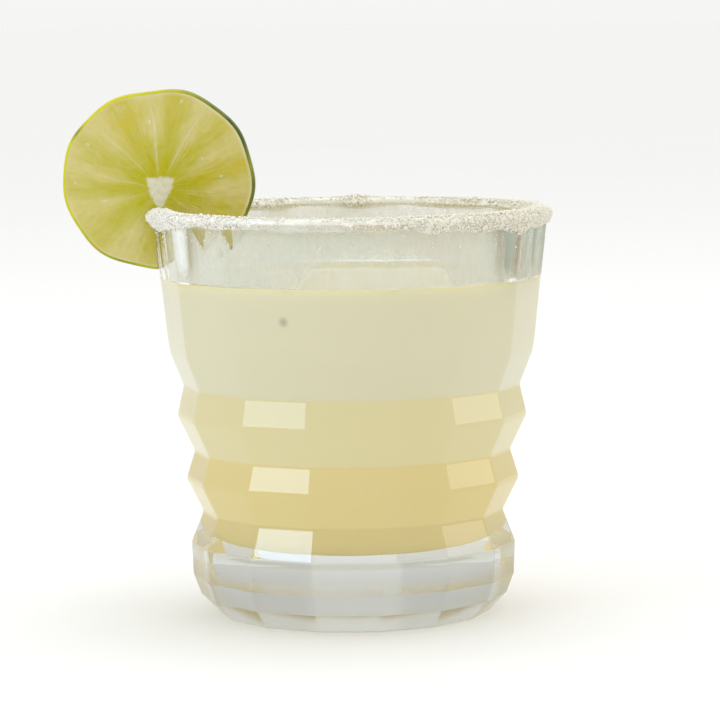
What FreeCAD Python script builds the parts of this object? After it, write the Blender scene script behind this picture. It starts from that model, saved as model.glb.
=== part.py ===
"""Margarita in a ribbed, fifteen-sided tumbler with a salted rim and a lime wheel on it.

Millimetres, +Z up.  The origin is on the tumbler's axis, on the surface that it stands on.
+X runs to the side away from the lime wheel, and -Y to the front.
"""
import FreeCAD, Part
import math
import os

# ---------------------------------------------------------------- tumbler, outside
facet_count = 15               # flat sides all round
facet_turn = -8.2              # degrees from +X to the first upright facet edge
glass_height = 92.3            # foot to lip
rim_radius = 45.0              # over the facet edges, at the lip
lip_round = 0.6                # chamfer inside and outside the lip

foot_radius = 31.0             # flat that the tumbler rests on
foot_bevel_radius = 35.2       # where the steep underside bevel ends
foot_bevel_height = 4.4
band_low_radius = 36.9         # lower edge of the upright band round the base
band_low_height = 8.9
band_top_radius = 37.2         # upper edge of that band
band_top_height = 15.9

low_neck_radius = 34.4         # three necks, from the base up
low_neck_height = 23.5
mid_neck_radius = 36.2
mid_neck_height = 37.4
top_neck_radius = 38.5
top_neck_height = 52.3

low_ridge_radius = 38.0        # two ridges between the necks
low_ridge_height = 31.2
top_ridge_radius = 39.9
top_ridge_height = 45.7
ridge_land = 1.0               # height of the narrow flat along each ridge

shoulder_low_radius = 40.4     # bowed shoulder above the top neck
shoulder_low_height = 57.1
shoulder_mid_radius = 41.4
shoulder_mid_height = 59.7
shoulder_top_radius = 41.85
shoulder_top_height = 62.0

# ---------------------------------------------------------------- tumbler, inside
floor_height = 15.6            # thickness of the solid base
floor_round = 6.0              # radius where the floor meets the wall
wall_rim = 2.0                 # wall from the flat of a facet to the bore
wall_shoulder = 2.3
wall_top_neck = 2.3
wall_low_neck = 2.3
bore_round = 14.0              # radius that eases the bends of the bore

# ---------------------------------------------------------------- drink
level_below_lip = 15.5         # free height above the drink
drink_gap = 0.15               # between the drink's skin and the bore

# ---------------------------------------------------------------- lime wheel
wheel_width = 43.9             # across, along X
wheel_height = 40.6            # across, along Z
wheel_thickness = 5.0
wheel_sides = 72               # flats that make up its outline
wheel_rise = 6.95              # wheel centre above the lip
wheel_shift = 0.08             # wheel centre from the middle of the wall, along X
peel_front_inset = 0.7         # how far the front face is in from the widest line
peel_back_inset = 0.4
peel_front_depth = 1.6         # from the front face back to the widest line
peel_back_depth = 1.4
wheel_waves = (                # (waves round the outline, height, first crest in degrees)
    (2, 0.13, 68.0),
    (3, 0.05, 98.0),
    (4, 0.19, 61.0),
    (5, 0.08, 58.0),
    (7, 0.10, 20.0),
    (9, 0.20, 35.0),
)
slit_gap = 0.25                # each side of the wall in the slit
seat_gap = 0.1                 # slit end above the lip
wheel_drink_gap = 0.3          # drink round the wheel, where the wheel dips into it

# ---------------------------------------------------------------- salt crust
salt_steps = 5                 # stations on each facet
salt_gap = 0.12                # between crust and glass
salt_wheel_gap = 0.4           # between crust and lime wheel
salt_least = 0.40              # thickness where the crust is thin
salt_rise_least = 0.35         # crest above the lip where the crust is thin
salt_drop_least = 1.2          # how far down the wall the crust reaches where it is thin
salt_drop_share = 2.3          # extra reach for each millimetre of thickness
salt_inner_share = 0.75        # inside thickness against outside thickness
salt_bulge_share = 0.8         # thickness halfway down the wall against that at the lip
salt_shoulder_share = 0.7      # height of the crest's shoulders against the crest
salt_wobble = 0.10             # fine unevenness
salt_heaps = (                 # (angle from +X, half spread, extra thickness, extra rise)
    (191.0, 19.0, 1.90, 0.50),
    (228.0, 10.0, 0.35, 0.20),
    (300.0, 22.0, 0.40, 0.15),
    (340.0, 30.0, 1.05, 0.35),
    (20.0, 18.0, 0.55, 0.30),
    (52.0, 11.0, 0.35, 0.25),
    (88.0, 5.0, 0.60, 1.10),
    (122.0, 16.0, 0.45, 0.25),
    (158.0, 14.0, 0.75, 0.35),
)

FULL_TURN = 360.0
HALF_TURN = 180.0
HALF = 0.5
OUT_DIR = "parts"

facet_angle = FULL_TURN / facet_count
lip_height = glass_height
drink_level = lip_height - level_below_lip
flat_share = math.cos(math.radians(facet_angle * HALF))    # flat distance over edge radius


# ---------------------------------------------------------------- shared helpers
def point(radius, angle, height):
    """Point at a radius and an angle in degrees about the axis, at a height."""
    turn = math.radians(angle)
    return FreeCAD.Vector(radius * math.cos(turn), radius * math.sin(turn), height)


def flat_face(points):
    """Plane face inside a closed run of points."""
    return Part.Face(Part.makePolygon(list(points) + [points[0]]))


def solid_of(faces):
    """Closed solid from the faces of its skin."""
    solid = Part.Solid(Part.makeShell(faces))
    if solid.Volume < 0:
        solid.reverse()
    return solid


def along(low, high, height):
    """Radius at a height on the straight line between two (radius, height) pairs."""
    share = (height - low[1]) / (high[1] - low[1])
    return low[0] + share * (high[0] - low[0])


def stack_radius(stations, height):
    """Radius of a stack of (radius, height) stations at a height."""
    for low, high in zip(stations, stations[1:]):
        if low[1] <= height <= high[1]:
            return along(low, high, height)
    return stations[-1][0]


def arc_corner(before, corner, after, radius):
    """Tangent points and middle of the arc that rounds a corner of an upright outline."""
    to_before = (before - corner).normalize()
    to_after = (after - corner).normalize()
    half_angle = to_before.getAngle(to_after) * HALF
    reach = radius / math.tan(half_angle)
    inward = (to_before + to_after).normalize()
    centre = corner + inward * (radius / math.sin(half_angle))
    return corner + to_before * reach, centre - inward * radius, corner + to_after * reach


def turned_solid(stations, rounds):
    """Solid of revolution about Z, closed to the axis below and above.

    stations are (radius, height) pairs from the axis outwards and up, and rounds gives the
    radius of the arc at each of them, or zero for a sharp corner."""
    corners = [FreeCAD.Vector(radius, 0, height) for radius, height in stations]
    edges = []
    start = corners[0]
    for before, corner, after, radius in zip(corners, corners[1:], corners[2:], rounds[1:]):
        if radius > 0:
            first, middle, last = arc_corner(before, corner, after, radius)
        else:
            first = last = corner
        edges.append(Part.LineSegment(start, first).toShape())
        if radius > 0:
            edges.append(Part.Arc(first, middle, last).toShape())
        start = last
    edges.append(Part.LineSegment(start, corners[-1]).toShape())
    axis_top = FreeCAD.Vector(0, 0, corners[-1].z)
    edges.append(Part.LineSegment(corners[-1], axis_top).toShape())
    edges.append(Part.LineSegment(axis_top, corners[0]).toShape())
    outline = Part.Face(Part.Wire(edges))
    return outline.revolve(FreeCAD.Vector(0, 0, 0), FreeCAD.Vector(0, 0, 1), FULL_TURN)


# ---------------------------------------------------------------- tumbler
def outer_stations():
    """(facet edge radius, height) of every level of the outside, from the foot to the lip."""
    half_land = ridge_land * HALF
    return [
        (foot_radius, 0.0),
        (foot_bevel_radius, foot_bevel_height),
        (band_low_radius, band_low_height),
        (band_top_radius, band_top_height - half_land),
        (band_top_radius, band_top_height + half_land),
        (low_neck_radius, low_neck_height),
        (low_ridge_radius, low_ridge_height - half_land),
        (low_ridge_radius, low_ridge_height + half_land),
        (mid_neck_radius, mid_neck_height),
        (top_ridge_radius, top_ridge_height - half_land),
        (top_ridge_radius, top_ridge_height + half_land),
        (top_neck_radius, top_neck_height),
        (shoulder_low_radius, shoulder_low_height),
        (shoulder_mid_radius, shoulder_mid_height),
        (shoulder_top_radius, shoulder_top_height),
        (rim_radius, lip_height - lip_round),
        (rim_radius - lip_round, lip_height),
    ]


def bore_radius_at_rim():
    """Radius of the bore where the lip's inner chamfer starts."""
    return rim_radius * flat_share - wall_rim


def bore_stations():
    """(radius, height) of the bore's corners, from the middle of the floor to the lip."""
    low = (low_neck_radius * flat_share - wall_low_neck, low_neck_height)
    high = (top_neck_radius * flat_share - wall_top_neck, top_neck_height)
    return [
        (0.0, floor_height),
        (along(low, high, floor_height), floor_height),
        high,
        (shoulder_top_radius * flat_share - wall_shoulder, shoulder_top_height),
        (bore_radius_at_rim(), lip_height - lip_round),
    ]


def bore_rounds():
    """Radius of the arc at each of the bore's corners."""
    return [0.0, floor_round, bore_round, bore_round, 0.0]


def facet_ring(radius, height):
    """Corners of the many-sided outline at one level."""
    return [point(radius, facet_turn + step * facet_angle, height) for step in range(facet_count)]


def tumbler_block():
    """Outside of the tumbler as one solid, each facet one plane face at each level."""
    rings = [facet_ring(radius, height) for radius, height in outer_stations()]
    faces = [flat_face(rings[0]), flat_face(rings[-1])]
    for low, high in zip(rings, rings[1:]):
        for side in range(facet_count):
            after = (side + 1) % facet_count
            faces.append(flat_face([low[side], low[after], high[after], high[side]]))
    return solid_of(faces)


def glass_solid():
    """Tumbler: the faceted block less the bore and the lip's inner chamfer."""
    top_radius = bore_radius_at_rim() + lip_round
    stations = bore_stations() + [(top_radius, lip_height)]
    bore = turned_solid(stations, bore_rounds() + [0.0])
    return tumbler_block().cut(bore)


# ---------------------------------------------------------------- drink
def drink_solid():
    """Drink: the bore up to the drink's level, in from the glass by its gap, clear of the wheel."""
    inner = bore_stations()
    stations = [(0.0, floor_height + drink_gap)]
    rounds = [0.0]
    for (radius, height), corner_round in zip(inner[1:], bore_rounds()[1:]):
        if height < drink_level:
            lift = drink_gap if height == floor_height else 0.0
            stations.append((radius - drink_gap, height + lift))
            rounds.append(corner_round)
    stations.append((stack_radius(inner[1:], drink_level) - drink_gap, drink_level))
    rounds.append(0.0)
    drink = turned_solid(stations, rounds)
    return drink.cut(wheel_blank(wheel_drink_gap))


# ---------------------------------------------------------------- lime wheel
def wall_middle():
    """Distance from the axis to the middle of the wall at the lip, under the wheel."""
    return (rim_radius + bore_radius_at_rim()) * HALF


def wheel_outline(inset, depth):
    """Outline of the wheel, in by an inset, at a depth along Y.

    An oval of the wheel's width and height with a few low waves on its edge."""
    centre_x = -wall_middle() + wheel_shift
    centre_z = lip_height + wheel_rise
    mean = (wheel_width + wheel_height) * HALF * HALF
    points = []
    for step in range(wheel_sides):
        angle = FULL_TURN * step / wheel_sides
        turn = math.radians(angle)
        swell = sum(high * math.cos(math.radians(count * (angle - crest)))
                    for count, high, crest in wheel_waves)
        share = (mean + swell - inset) / mean
        across = wheel_width * HALF * share * math.cos(turn)
        upward = wheel_height * HALF * share * math.sin(turn)
        points.append(FreeCAD.Vector(centre_x + across, depth, centre_z + upward))
    return points


def wheel_blank(swell):
    """Whole wheel: two flat cut faces and a peel that bulges between them, larger by a swell."""
    front = -wheel_thickness * HALF
    back = wheel_thickness * HALF
    rings = [
        wheel_outline(peel_front_inset - swell, front - swell),
        wheel_outline(-swell, front + peel_front_depth),
        wheel_outline(-swell, back - peel_back_depth),
        wheel_outline(peel_back_inset - swell, back + swell),
    ]
    faces = [flat_face(rings[0]), flat_face(rings[-1])]
    for near, far in zip(rings, rings[1:]):
        for side in range(wheel_sides):
            after = (side + 1) % wheel_sides
            faces.append(flat_face([near[side], near[after], far[after]]))
            faces.append(flat_face([near[side], far[after], far[side]]))
    return solid_of(faces)


def slit_cutter():
    """Slot for the wall, from the lip down past the wheel, following both faces of the wall."""
    outer = outer_stations()[:-1]
    bore = bore_stations()[1:]
    wheel_bottom = lip_height + wheel_rise - wheel_height
    levels = [height for _, height in outer if wheel_bottom < height < lip_height - lip_round]
    levels = [wheel_bottom] + levels
    half_width = wheel_thickness * HALF
    bow = bore_radius_at_rim() - math.sqrt(bore_radius_at_rim() ** 2 - half_width ** 2)

    def corner(across, height):
        return FreeCAD.Vector(across, -wheel_thickness, height)

    top = lip_height + seat_gap
    outside = [corner(-stack_radius(outer, level) - slit_gap, level) for level in levels]
    inside = [corner(-stack_radius(bore, level) + slit_gap + bow, level) for level in levels]
    outside.append(corner(-rim_radius - slit_gap, top))
    inside.append(corner(-bore_radius_at_rim() + slit_gap + bow, top))
    inside.reverse()
    return flat_face(outside + inside).extrude(FreeCAD.Vector(0, wheel_thickness * 2, 0))


def lime_wheel_solid():
    """Lime wheel, slit from its lower edge so that it sits on the lip."""
    return wheel_blank(0.0).cut(slit_cutter())


# ---------------------------------------------------------------- salt crust
def heaped(angle, least, heaps):
    """A least amount with its heaps, each (centre, spread, extra), at an angle."""
    total = least
    for centre, spread, extra in heaps:
        away = (angle - centre + HALF_TURN) % FULL_TURN - HALF_TURN
        total += extra * math.exp(-(away / spread) ** 2)
    return total


def salt_thickness(angle):
    """Thickness of the crust at an angle: a thin layer, its heaps and a fine unevenness."""
    turn = math.radians(angle)
    heaps = [(centre, spread, extra) for centre, spread, extra, _ in salt_heaps]
    wobble = salt_wobble * math.sin(23 * turn) * math.cos(9 * turn + 1)
    return heaped(angle, salt_least, heaps) + wobble


def salt_rise(angle):
    """Height of the crust's crest above the lip at an angle."""
    heaps = [(centre, spread, extra) for centre, spread, _, extra in salt_heaps]
    return heaped(angle, salt_rise_least, heaps)


def salt_reach(angle, thickness):
    """How far down the wall the crust hangs, in uneven tongues."""
    turn = math.radians(angle)
    tongues = 1 + HALF * math.sin(17 * turn + 2) * math.cos(5 * turn)
    return salt_drop_least + salt_drop_share * thickness * tongues * HALF


def flat_radius(edge_radius, angle):
    """Distance from the axis to a facet at an angle, from the radius over its edges."""
    off_middle = (angle - facet_turn) % facet_angle - facet_angle * HALF
    return edge_radius * flat_share / math.cos(math.radians(off_middle))


def salt_section(angle):
    """Closed section of the crust over the lip, from the outside foot to the inside one."""
    thick = salt_thickness(angle)
    inner = thick * salt_inner_share
    down = salt_reach(angle, thick)
    down_inside = salt_reach(angle + facet_angle, inner)
    rise = salt_rise(angle)
    shoulder = lip_height + rise * salt_shoulder_share
    outer = outer_stations()
    bore = bore_stations()[1:]

    def out(height, extra):
        edge_radius = stack_radius(outer[:-1], height)
        return point(flat_radius(edge_radius, angle) + salt_gap + extra, angle, height)

    def bore_side(height, extra):
        return point(stack_radius(bore, height) - salt_gap - extra, angle, height)

    lip = lip_height + salt_gap
    return [
        out(lip_height - down, 0.0),
        out(lip_height - down * HALF, thick * salt_bulge_share),
        out(lip_height, thick),
        out(shoulder, thick * HALF),
        point(wall_middle(), angle, lip_height + rise),
        bore_side(shoulder, inner * HALF),
        bore_side(lip_height, inner),
        bore_side(lip_height - down_inside, 0.0),
        bore_side(lip, 0.0),
        out(lip, 0.0),
    ]


def salt_angles():
    """Angles of the crust's stations, from one side of the lime wheel round to the other."""
    clear = wheel_thickness * HALF + salt_wheel_gap
    gap_angle = math.degrees(math.asin(clear / bore_radius_at_rim()))
    step = facet_angle / salt_steps
    first = HALF_TURN + gap_angle
    last = HALF_TURN + FULL_TURN - gap_angle
    inner = [facet_turn + step * count for count in range(facet_count * salt_steps * 2)]
    margin = step * HALF
    between = [angle for angle in inner if first + margin < angle < last - margin]
    return [first] + between + [last]


def salt_rim_solid():
    """Salt crust: one uneven strip over the lip, open where the lime wheel sits."""
    sections = [salt_section(angle) for angle in salt_angles()]
    faces = [flat_face(sections[0]), flat_face(sections[-1])]
    corners = len(sections[0])
    for near, far in zip(sections, sections[1:]):
        for corner in range(corners):
            after = (corner + 1) % corners
            faces.append(flat_face([near[corner], near[after], far[after]]))
            faces.append(flat_face([near[corner], far[after], far[corner]]))
    return solid_of(faces)


# ---------------------------------------------------------------- the part
def main():
    """Build every piece and write it to its own file."""
    os.makedirs(OUT_DIR, exist_ok=True)
    pieces = {
        "glass": glass_solid(),
        "drink": drink_solid(),
        "lime_wheel": lime_wheel_solid(),
        "salt_rim": salt_rim_solid(),
    }
    for name, shape in pieces.items():
        shape.exportStep(os.path.join(OUT_DIR, name + ".step"))
        box = shape.BoundBox
        print(name, "solids", len(shape.Solids), "valid", shape.isValid(),
              "volume", round(shape.Volume), "box",
              [round(value, 2) for value in (box.XMin, box.YMin, box.ZMin)],
              [round(value, 2) for value in (box.XMax, box.YMax, box.ZMax)])


main()
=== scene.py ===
"""Looks of a margarita in a fifteen-sided ribbed tumbler, with a salted rim and a lime wheel.

Metres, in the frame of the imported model: origin on the tumbler's axis where it stands, +Z up,
-Y to the front, and the lime wheel on the -X side of the lip.
"""
import math

import bpy
import numpy as np
from mathutils import Matrix, Vector


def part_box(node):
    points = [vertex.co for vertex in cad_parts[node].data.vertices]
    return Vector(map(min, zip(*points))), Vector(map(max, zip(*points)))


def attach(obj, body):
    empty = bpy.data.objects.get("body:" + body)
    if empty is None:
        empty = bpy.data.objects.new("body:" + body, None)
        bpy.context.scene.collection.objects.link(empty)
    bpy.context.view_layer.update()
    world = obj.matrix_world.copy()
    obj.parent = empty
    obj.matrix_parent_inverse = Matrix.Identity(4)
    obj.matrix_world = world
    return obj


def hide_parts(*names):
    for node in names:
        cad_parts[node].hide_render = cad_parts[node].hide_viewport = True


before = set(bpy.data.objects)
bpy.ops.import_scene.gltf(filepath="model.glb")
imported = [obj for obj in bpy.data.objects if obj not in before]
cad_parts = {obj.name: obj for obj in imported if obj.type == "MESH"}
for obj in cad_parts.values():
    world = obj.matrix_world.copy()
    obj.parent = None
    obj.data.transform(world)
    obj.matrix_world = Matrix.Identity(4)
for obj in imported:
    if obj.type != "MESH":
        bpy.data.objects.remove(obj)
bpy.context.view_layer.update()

bl_info = {
    "name": "Margarita in a ribbed tumbler",
    "version": (1, 0, 0),
    "blender": (4, 5, 0),
    "location": "3D View > Sidebar > Margarita",
    "description": "Clear tumbler, cloudy drink, lime wheel and salt crust",
    "category": "Add Mesh",
}

MM = 0.001
FULL = 2.0 * math.pi
BODY = "root"


def display(red, green, blue):
    """Linear colour of a display colour given from 0 to 255: the usual display curve undone."""
    values = np.array([red, green, blue]) / 255.0
    linear = np.where(values <= 0.04045, values / 12.92, ((values + 0.055) / 1.055) ** 2.4)
    return tuple(float(value) for value in linear)


def opaque(colour):
    """The colour with a full fourth channel, as sockets take it."""
    return (*tuple(colour)[:3], 1.0)


# ------------------------------------------------------------------ settings
class TumblerSettings(bpy.types.PropertyGroup):
    """Sizes and colours of the glass."""

    facets: bpy.props.IntProperty(name="Facets", description="Flat sides all round", default=15)
    facet_turn: bpy.props.FloatProperty(
        name="Facet turn", description="Angle from +X to the first upright facet edge",
        default=math.radians(-8.2), subtype="ANGLE")
    lip_round: bpy.props.FloatProperty(
        name="Lip rounding", description="Height of the fire-polished crown of the lip",
        default=1.1 * MM, unit="LENGTH")
    waviness: bpy.props.FloatProperty(
        name="Waviness", description="How uneven the pressed surfaces are",
        default=0.05 * MM, unit="LENGTH")
    wall_tint: bpy.props.FloatVectorProperty(
        name="Wall tint", description="Colour that the thin wall lets through",
        default=display(249, 251, 248), size=3, subtype="COLOR")
    # Partly the thick glass's own tint and partly painted shade of the dim floor seen through the
    # base.
    base_tint_and_painted_shade: bpy.props.FloatVectorProperty(
        name="Base tint", description="Colour that the thick base lets through",
        default=display(196, 198, 193), size=3, subtype="COLOR")
    # Painted shade: a dark line at the height of the bore's floor, where its rounded edge darkens the
    # view.
    floor_line_painted_shade: bpy.props.FloatVectorProperty(
        name="Floor tint", description="Colour of the glass beside the floor of the bore",
        default=display(214, 215, 198), size=3, subtype="COLOR")
    ior: bpy.props.FloatProperty(name="IOR", description="Refraction of soda glass", default=1.5)


class DrinkSettings(bpy.types.PropertyGroup):
    """Sizes and colours of the drink, of the haze above it and of what wets it."""

    wall_bite: bpy.props.FloatProperty(
        name="Reach into the wall", description="How far the drink reaches into the glass",
        default=0.12 * MM, unit="LENGTH")
    meniscus: bpy.props.FloatProperty(
        name="Meniscus", description="How far the surface climbs at the wall",
        default=0.9 * MM, unit="LENGTH")
    # From the upper colour to the floor band: the drink's own colour deepening downward, with painted
    # shade of light fading on its way down and painted facet reflections in the steps at the necks.
    body_colour: bpy.props.FloatVectorProperty(
        name="Upper colour", description="Colour of the drink above the ridges",
        default=display(222, 215, 184), size=3, subtype="COLOR")
    upper_band: bpy.props.FloatVectorProperty(
        name="Upper band", description="Colour behind the upper ridge",
        default=display(225, 212, 163), size=3, subtype="COLOR")
    lower_band: bpy.props.FloatVectorProperty(
        name="Lower band", description="Colour behind the lower ridge",
        default=display(226, 206, 142), size=3, subtype="COLOR")
    floor_band: bpy.props.FloatVectorProperty(
        name="Floor band", description="Colour above the floor",
        default=display(217, 197, 134), size=3, subtype="COLOR")
    level_line: bpy.props.FloatVectorProperty(
        name="Level line", description="Colour of the thin line where the drink meets the wall",
        default=display(221, 208, 158), size=3, subtype="COLOR")
    # Painted shade: the open surface is the same drink, drawn darker.
    surface_painted_shade: bpy.props.FloatVectorProperty(
        name="Surface shade", description="Colour mixed into the drink at its open surface",
        default=display(196, 186, 146), size=3, subtype="COLOR")
    haze_colour: bpy.props.FloatVectorProperty(
        name="Haze", description="Colour of the salty film on the wall above the drink",
        default=display(233, 227, 212), size=3, subtype="COLOR")
    smear_colour: bpy.props.FloatVectorProperty(
        name="Smear", description="Colour of the smear outside, under the lip",
        default=display(228, 217, 196), size=3, subtype="COLOR")
    blotch_colour: bpy.props.FloatVectorProperty(
        name="Blotches", description="Colour of the haze's blotches",
        default=display(232, 230, 216), size=3, subtype="COLOR")
    white_run: bpy.props.FloatVectorProperty(
        name="White run", description="Colour of the runs of dried salt",
        default=display(238, 239, 232), size=3, subtype="COLOR")
    grey_run: bpy.props.FloatVectorProperty(
        name="Grey run", description="Colour of the wet grey-green runs",
        default=display(166, 176, 160), size=3, subtype="COLOR")
    fleck_colour: bpy.props.FloatVectorProperty(
        name="Fleck", description="Colour of the dark fleck in the drink",
        default=display(142, 140, 114), size=3, subtype="COLOR")
    fleck_angle: bpy.props.FloatProperty(
        name="Fleck angle", description="Angle from +X to the dark fleck in the drink",
        default=math.radians(-111.2), subtype="ANGLE")
    fleck_height: bpy.props.FloatProperty(
        name="Fleck height", description="Height of the dark fleck", default=69.8 * MM,
        unit="LENGTH")
    fleck_size: bpy.props.FloatProperty(
        name="Fleck size", description="Half the width of the fleck",
        default=1.0 * MM, unit="LENGTH")
    drop_angle: bpy.props.FloatProperty(
        name="Drop angle", description="Angle from +X to the drop of water on the wall",
        default=math.radians(-130.6), subtype="ANGLE")
    drop_height: bpy.props.FloatProperty(
        name="Drop height", description="Height of the drop of water", default=84.6 * MM,
        unit="LENGTH")
    drop_size: bpy.props.FloatProperty(
        name="Drop size", description="Half the width of the drop", default=1.15 * MM,
        unit="LENGTH")
    bubbles: bpy.props.IntProperty(
        name="Bubbles", description="How many small bubbles lie on the drink", default=150)


class LimeSettings(bpy.types.PropertyGroup):
    """Sizes and colours of the lime wheel."""

    width: bpy.props.FloatProperty(
        name="Width", description="Across the wheel along X", default=43.9 * MM, unit="LENGTH")
    height: bpy.props.FloatProperty(
        name="Height", description="Across the wheel along Z", default=40.6 * MM, unit="LENGTH")
    thickness: bpy.props.FloatProperty(
        name="Thickness", description="Through the wheel along Y", default=5.0 * MM, unit="LENGTH")
    relief: bpy.props.FloatProperty(
        name="Relief", description="Height of the pulp's bumps", default=0.16 * MM, unit="LENGTH")
    deep: bpy.props.FloatVectorProperty(
        name="Deep pulp", description="Clear pulp near the core",
        default=display(182, 175, 0), size=3, subtype="COLOR")
    gold: bpy.props.FloatVectorProperty(
        name="Golden pulp", description="Golden patches of the pulp",
        default=display(206, 187, 60), size=3, subtype="COLOR")
    pale: bpy.props.FloatVectorProperty(
        name="Pale pulp", description="Dry pulp towards the peel",
        default=display(211, 199, 128), size=3, subtype="COLOR")
    # The pith colour also paints the highlights on the pulp.
    pith_and_highlight: bpy.props.FloatVectorProperty(
        name="Pith", description="White core and the line under the peel",
        default=display(222, 217, 196), size=3, subtype="COLOR")
    # The light and dark peel colours are mixed round the wheel as painted light and shade, over the
    # peel's own greens.
    peel_light: bpy.props.FloatVectorProperty(
        name="Light peel", description="Yellow-green side of the peel",
        default=display(204, 200, 6), size=3, subtype="COLOR")
    peel_dark: bpy.props.FloatVectorProperty(
        name="Dark peel", description="Dark green side of the peel",
        default=display(62, 84, 16), size=3, subtype="COLOR")


class SaltSettings(bpy.types.PropertyGroup):
    """Sizes and colours of the salt crust."""

    grains: bpy.props.IntProperty(
        name="Grains", description="How many crystals lie on the crust", default=16400)
    grain_size: bpy.props.FloatProperty(
        name="Grain size", description="Half the width of a middling crystal",
        default=0.14 * MM, unit="LENGTH")
    colour: bpy.props.FloatVectorProperty(
        name="Salt", description="Colour of dry salt",
        default=display(253, 252, 248), size=3, subtype="COLOR")
    shade: bpy.props.FloatVectorProperty(
        name="Salt shade", description="Colour of the duller crystals",
        default=display(244, 240, 226), size=3, subtype="COLOR")
    damp: bpy.props.FloatVectorProperty(
        name="Damp salt", description="Colour of the damp salt on the side away from the lime",
        default=display(243, 239, 224), size=3, subtype="COLOR")


class StageSettings(bpy.types.PropertyGroup):
    """Camera and light."""

    distance: bpy.props.FloatProperty(
        name="Distance", description="Camera to the tumbler's axis",
        default=770 * MM, unit="LENGTH")
    height: bpy.props.FloatProperty(
        name="Height", description="Camera above the table", default=136.2 * MM, unit="LENGTH")
    side_step: bpy.props.FloatProperty(
        name="Side step", description="Camera to the right of the axis",
        default=1.85 * MM, unit="LENGTH")
    tilt: bpy.props.FloatProperty(
        name="Tilt", description="How far the camera looks down",
        default=math.radians(5.84), subtype="ANGLE")
    roll: bpy.props.FloatProperty(
        name="Roll", description="How far the camera leans",
        default=math.radians(-0.59), subtype="ANGLE")
    lens: bpy.props.FloatProperty(
        name="Lens", description="Focal length in millimetres", default=169.4)
    sky: bpy.props.FloatProperty(
        name="Room light", description="Strength of the even light all round", default=1.04)
    dim_front: bpy.props.FloatProperty(
        name="Dim front", description="How much darker the room is low down behind the camera",
        default=0.15, subtype="FACTOR")
    dim_sides: bpy.props.FloatProperty(
        name="Dim sides", description="How much darker the room is low down at both sides",
        default=0.16, subtype="FACTOR")


# ------------------------------------------------------------------ meshes from arrays
def put_mesh(name, points, quads, triangles=None):
    """Object with a mesh whose corners come straight from arrays."""
    triangles = np.zeros((0, 3), dtype=np.int32) if triangles is None else triangles
    mesh = bpy.data.meshes.new(name)
    mesh.vertices.add(len(points))
    mesh.vertices.foreach_set("co", np.asarray(points, dtype=np.float32).ravel())
    corners = np.concatenate([quads.ravel(), triangles.ravel()]).astype(np.int32)
    starts = np.concatenate([
        np.arange(len(quads)) * 4,
        len(quads) * 4 + np.arange(len(triangles)) * 3,
    ]).astype(np.int32)
    mesh.loops.add(len(corners))
    mesh.loops.foreach_set("vertex_index", corners)
    mesh.polygons.add(len(starts))
    mesh.polygons.foreach_set("loop_start", starts)
    mesh.update(calc_edges=True)
    mesh.validate()
    piece = bpy.data.objects.new(name, mesh)
    bpy.context.scene.collection.objects.link(piece)
    return piece


def grid_faces(rows, columns, shut=False):
    """Quads of a grid of rings whose columns close on themselves, and rows too if shut."""
    last = rows if shut else rows - 1
    row, column = np.meshgrid(np.arange(last), np.arange(columns), indexing="ij")
    after = (column + 1) % columns
    low = row * columns
    high = (row + 1) % rows * columns
    return np.stack([low + column, low + after, high + after, high + column], axis=-1).reshape(-1, 4)


def shut_lathe(rings):
    """Points and faces of a grid of rings, (rows, columns, 3), shut by a pole at each end.

    The poles stand at the middle of the first and of the last ring."""
    rows, columns = rings.shape[:2]
    points = np.concatenate([rings.reshape(-1, 3), rings[0].mean(0)[None], rings[-1].mean(0)[None]])
    around = np.arange(columns)
    after = (around + 1) % columns
    first = np.stack([np.full(columns, rows * columns), after, around], axis=-1)
    base = (rows - 1) * columns
    last = np.stack([np.full(columns, rows * columns + 1), base + around, base + after], axis=-1)
    return points, grid_faces(rows, columns), np.concatenate([first, last])


def smooth_by_area(piece):
    """Smooth shading whose normals lean to the larger faces, so that flats stay flat.

    A point's normal is the sum of its faces' normals, each as long as the face is large."""
    mesh = piece.data
    mesh.polygons.foreach_set("use_smooth", np.ones(len(mesh.polygons), dtype=bool))
    count = len(mesh.polygons)
    area = np.empty(count)
    mesh.polygons.foreach_get("area", area)
    normal = np.empty(count * 3)
    mesh.polygons.foreach_get("normal", normal)
    sides = np.empty(count, dtype=np.int32)
    mesh.polygons.foreach_get("loop_total", sides)
    corner = np.empty(len(mesh.loops), dtype=np.int32)
    mesh.loops.foreach_get("vertex_index", corner)
    weighted = np.repeat(normal.reshape(-1, 3) * area[:, None], sides, axis=0)
    total = np.zeros((len(mesh.vertices), 3))
    np.add.at(total, corner, weighted)
    total /= np.maximum(np.linalg.norm(total, axis=1, keepdims=True), 1e-20)
    mesh.normals_split_custom_set_from_vertices(total.tolist())


def add_attribute(piece, name, values):
    """Number at each point of a piece, for its material to read."""
    attribute = piece.data.attributes.new(name, "FLOAT", "POINT")
    attribute.data.foreach_set("value", np.asarray(values, dtype=np.float32))


def lattice_values(cells, seed):
    """Even random values from 0 to 1 at whole-number cells: a mixed product of the cell and seed."""
    mixed = (cells[..., 0] * 374761393 + cells[..., 1] * 668265263
             + cells[..., 2] * 2147483647 + seed * 1274126177) & 0xFFFFFFFF
    mixed = ((mixed ^ (mixed >> 13)) * 1103515245) & 0xFFFFFFFF
    mixed = ((mixed ^ (mixed >> 16)) * 668265263) & 0xFFFFFFFF
    return ((mixed ^ (mixed >> 15)) & 0xFFFFFF) / float(0xFFFFFF)


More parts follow.
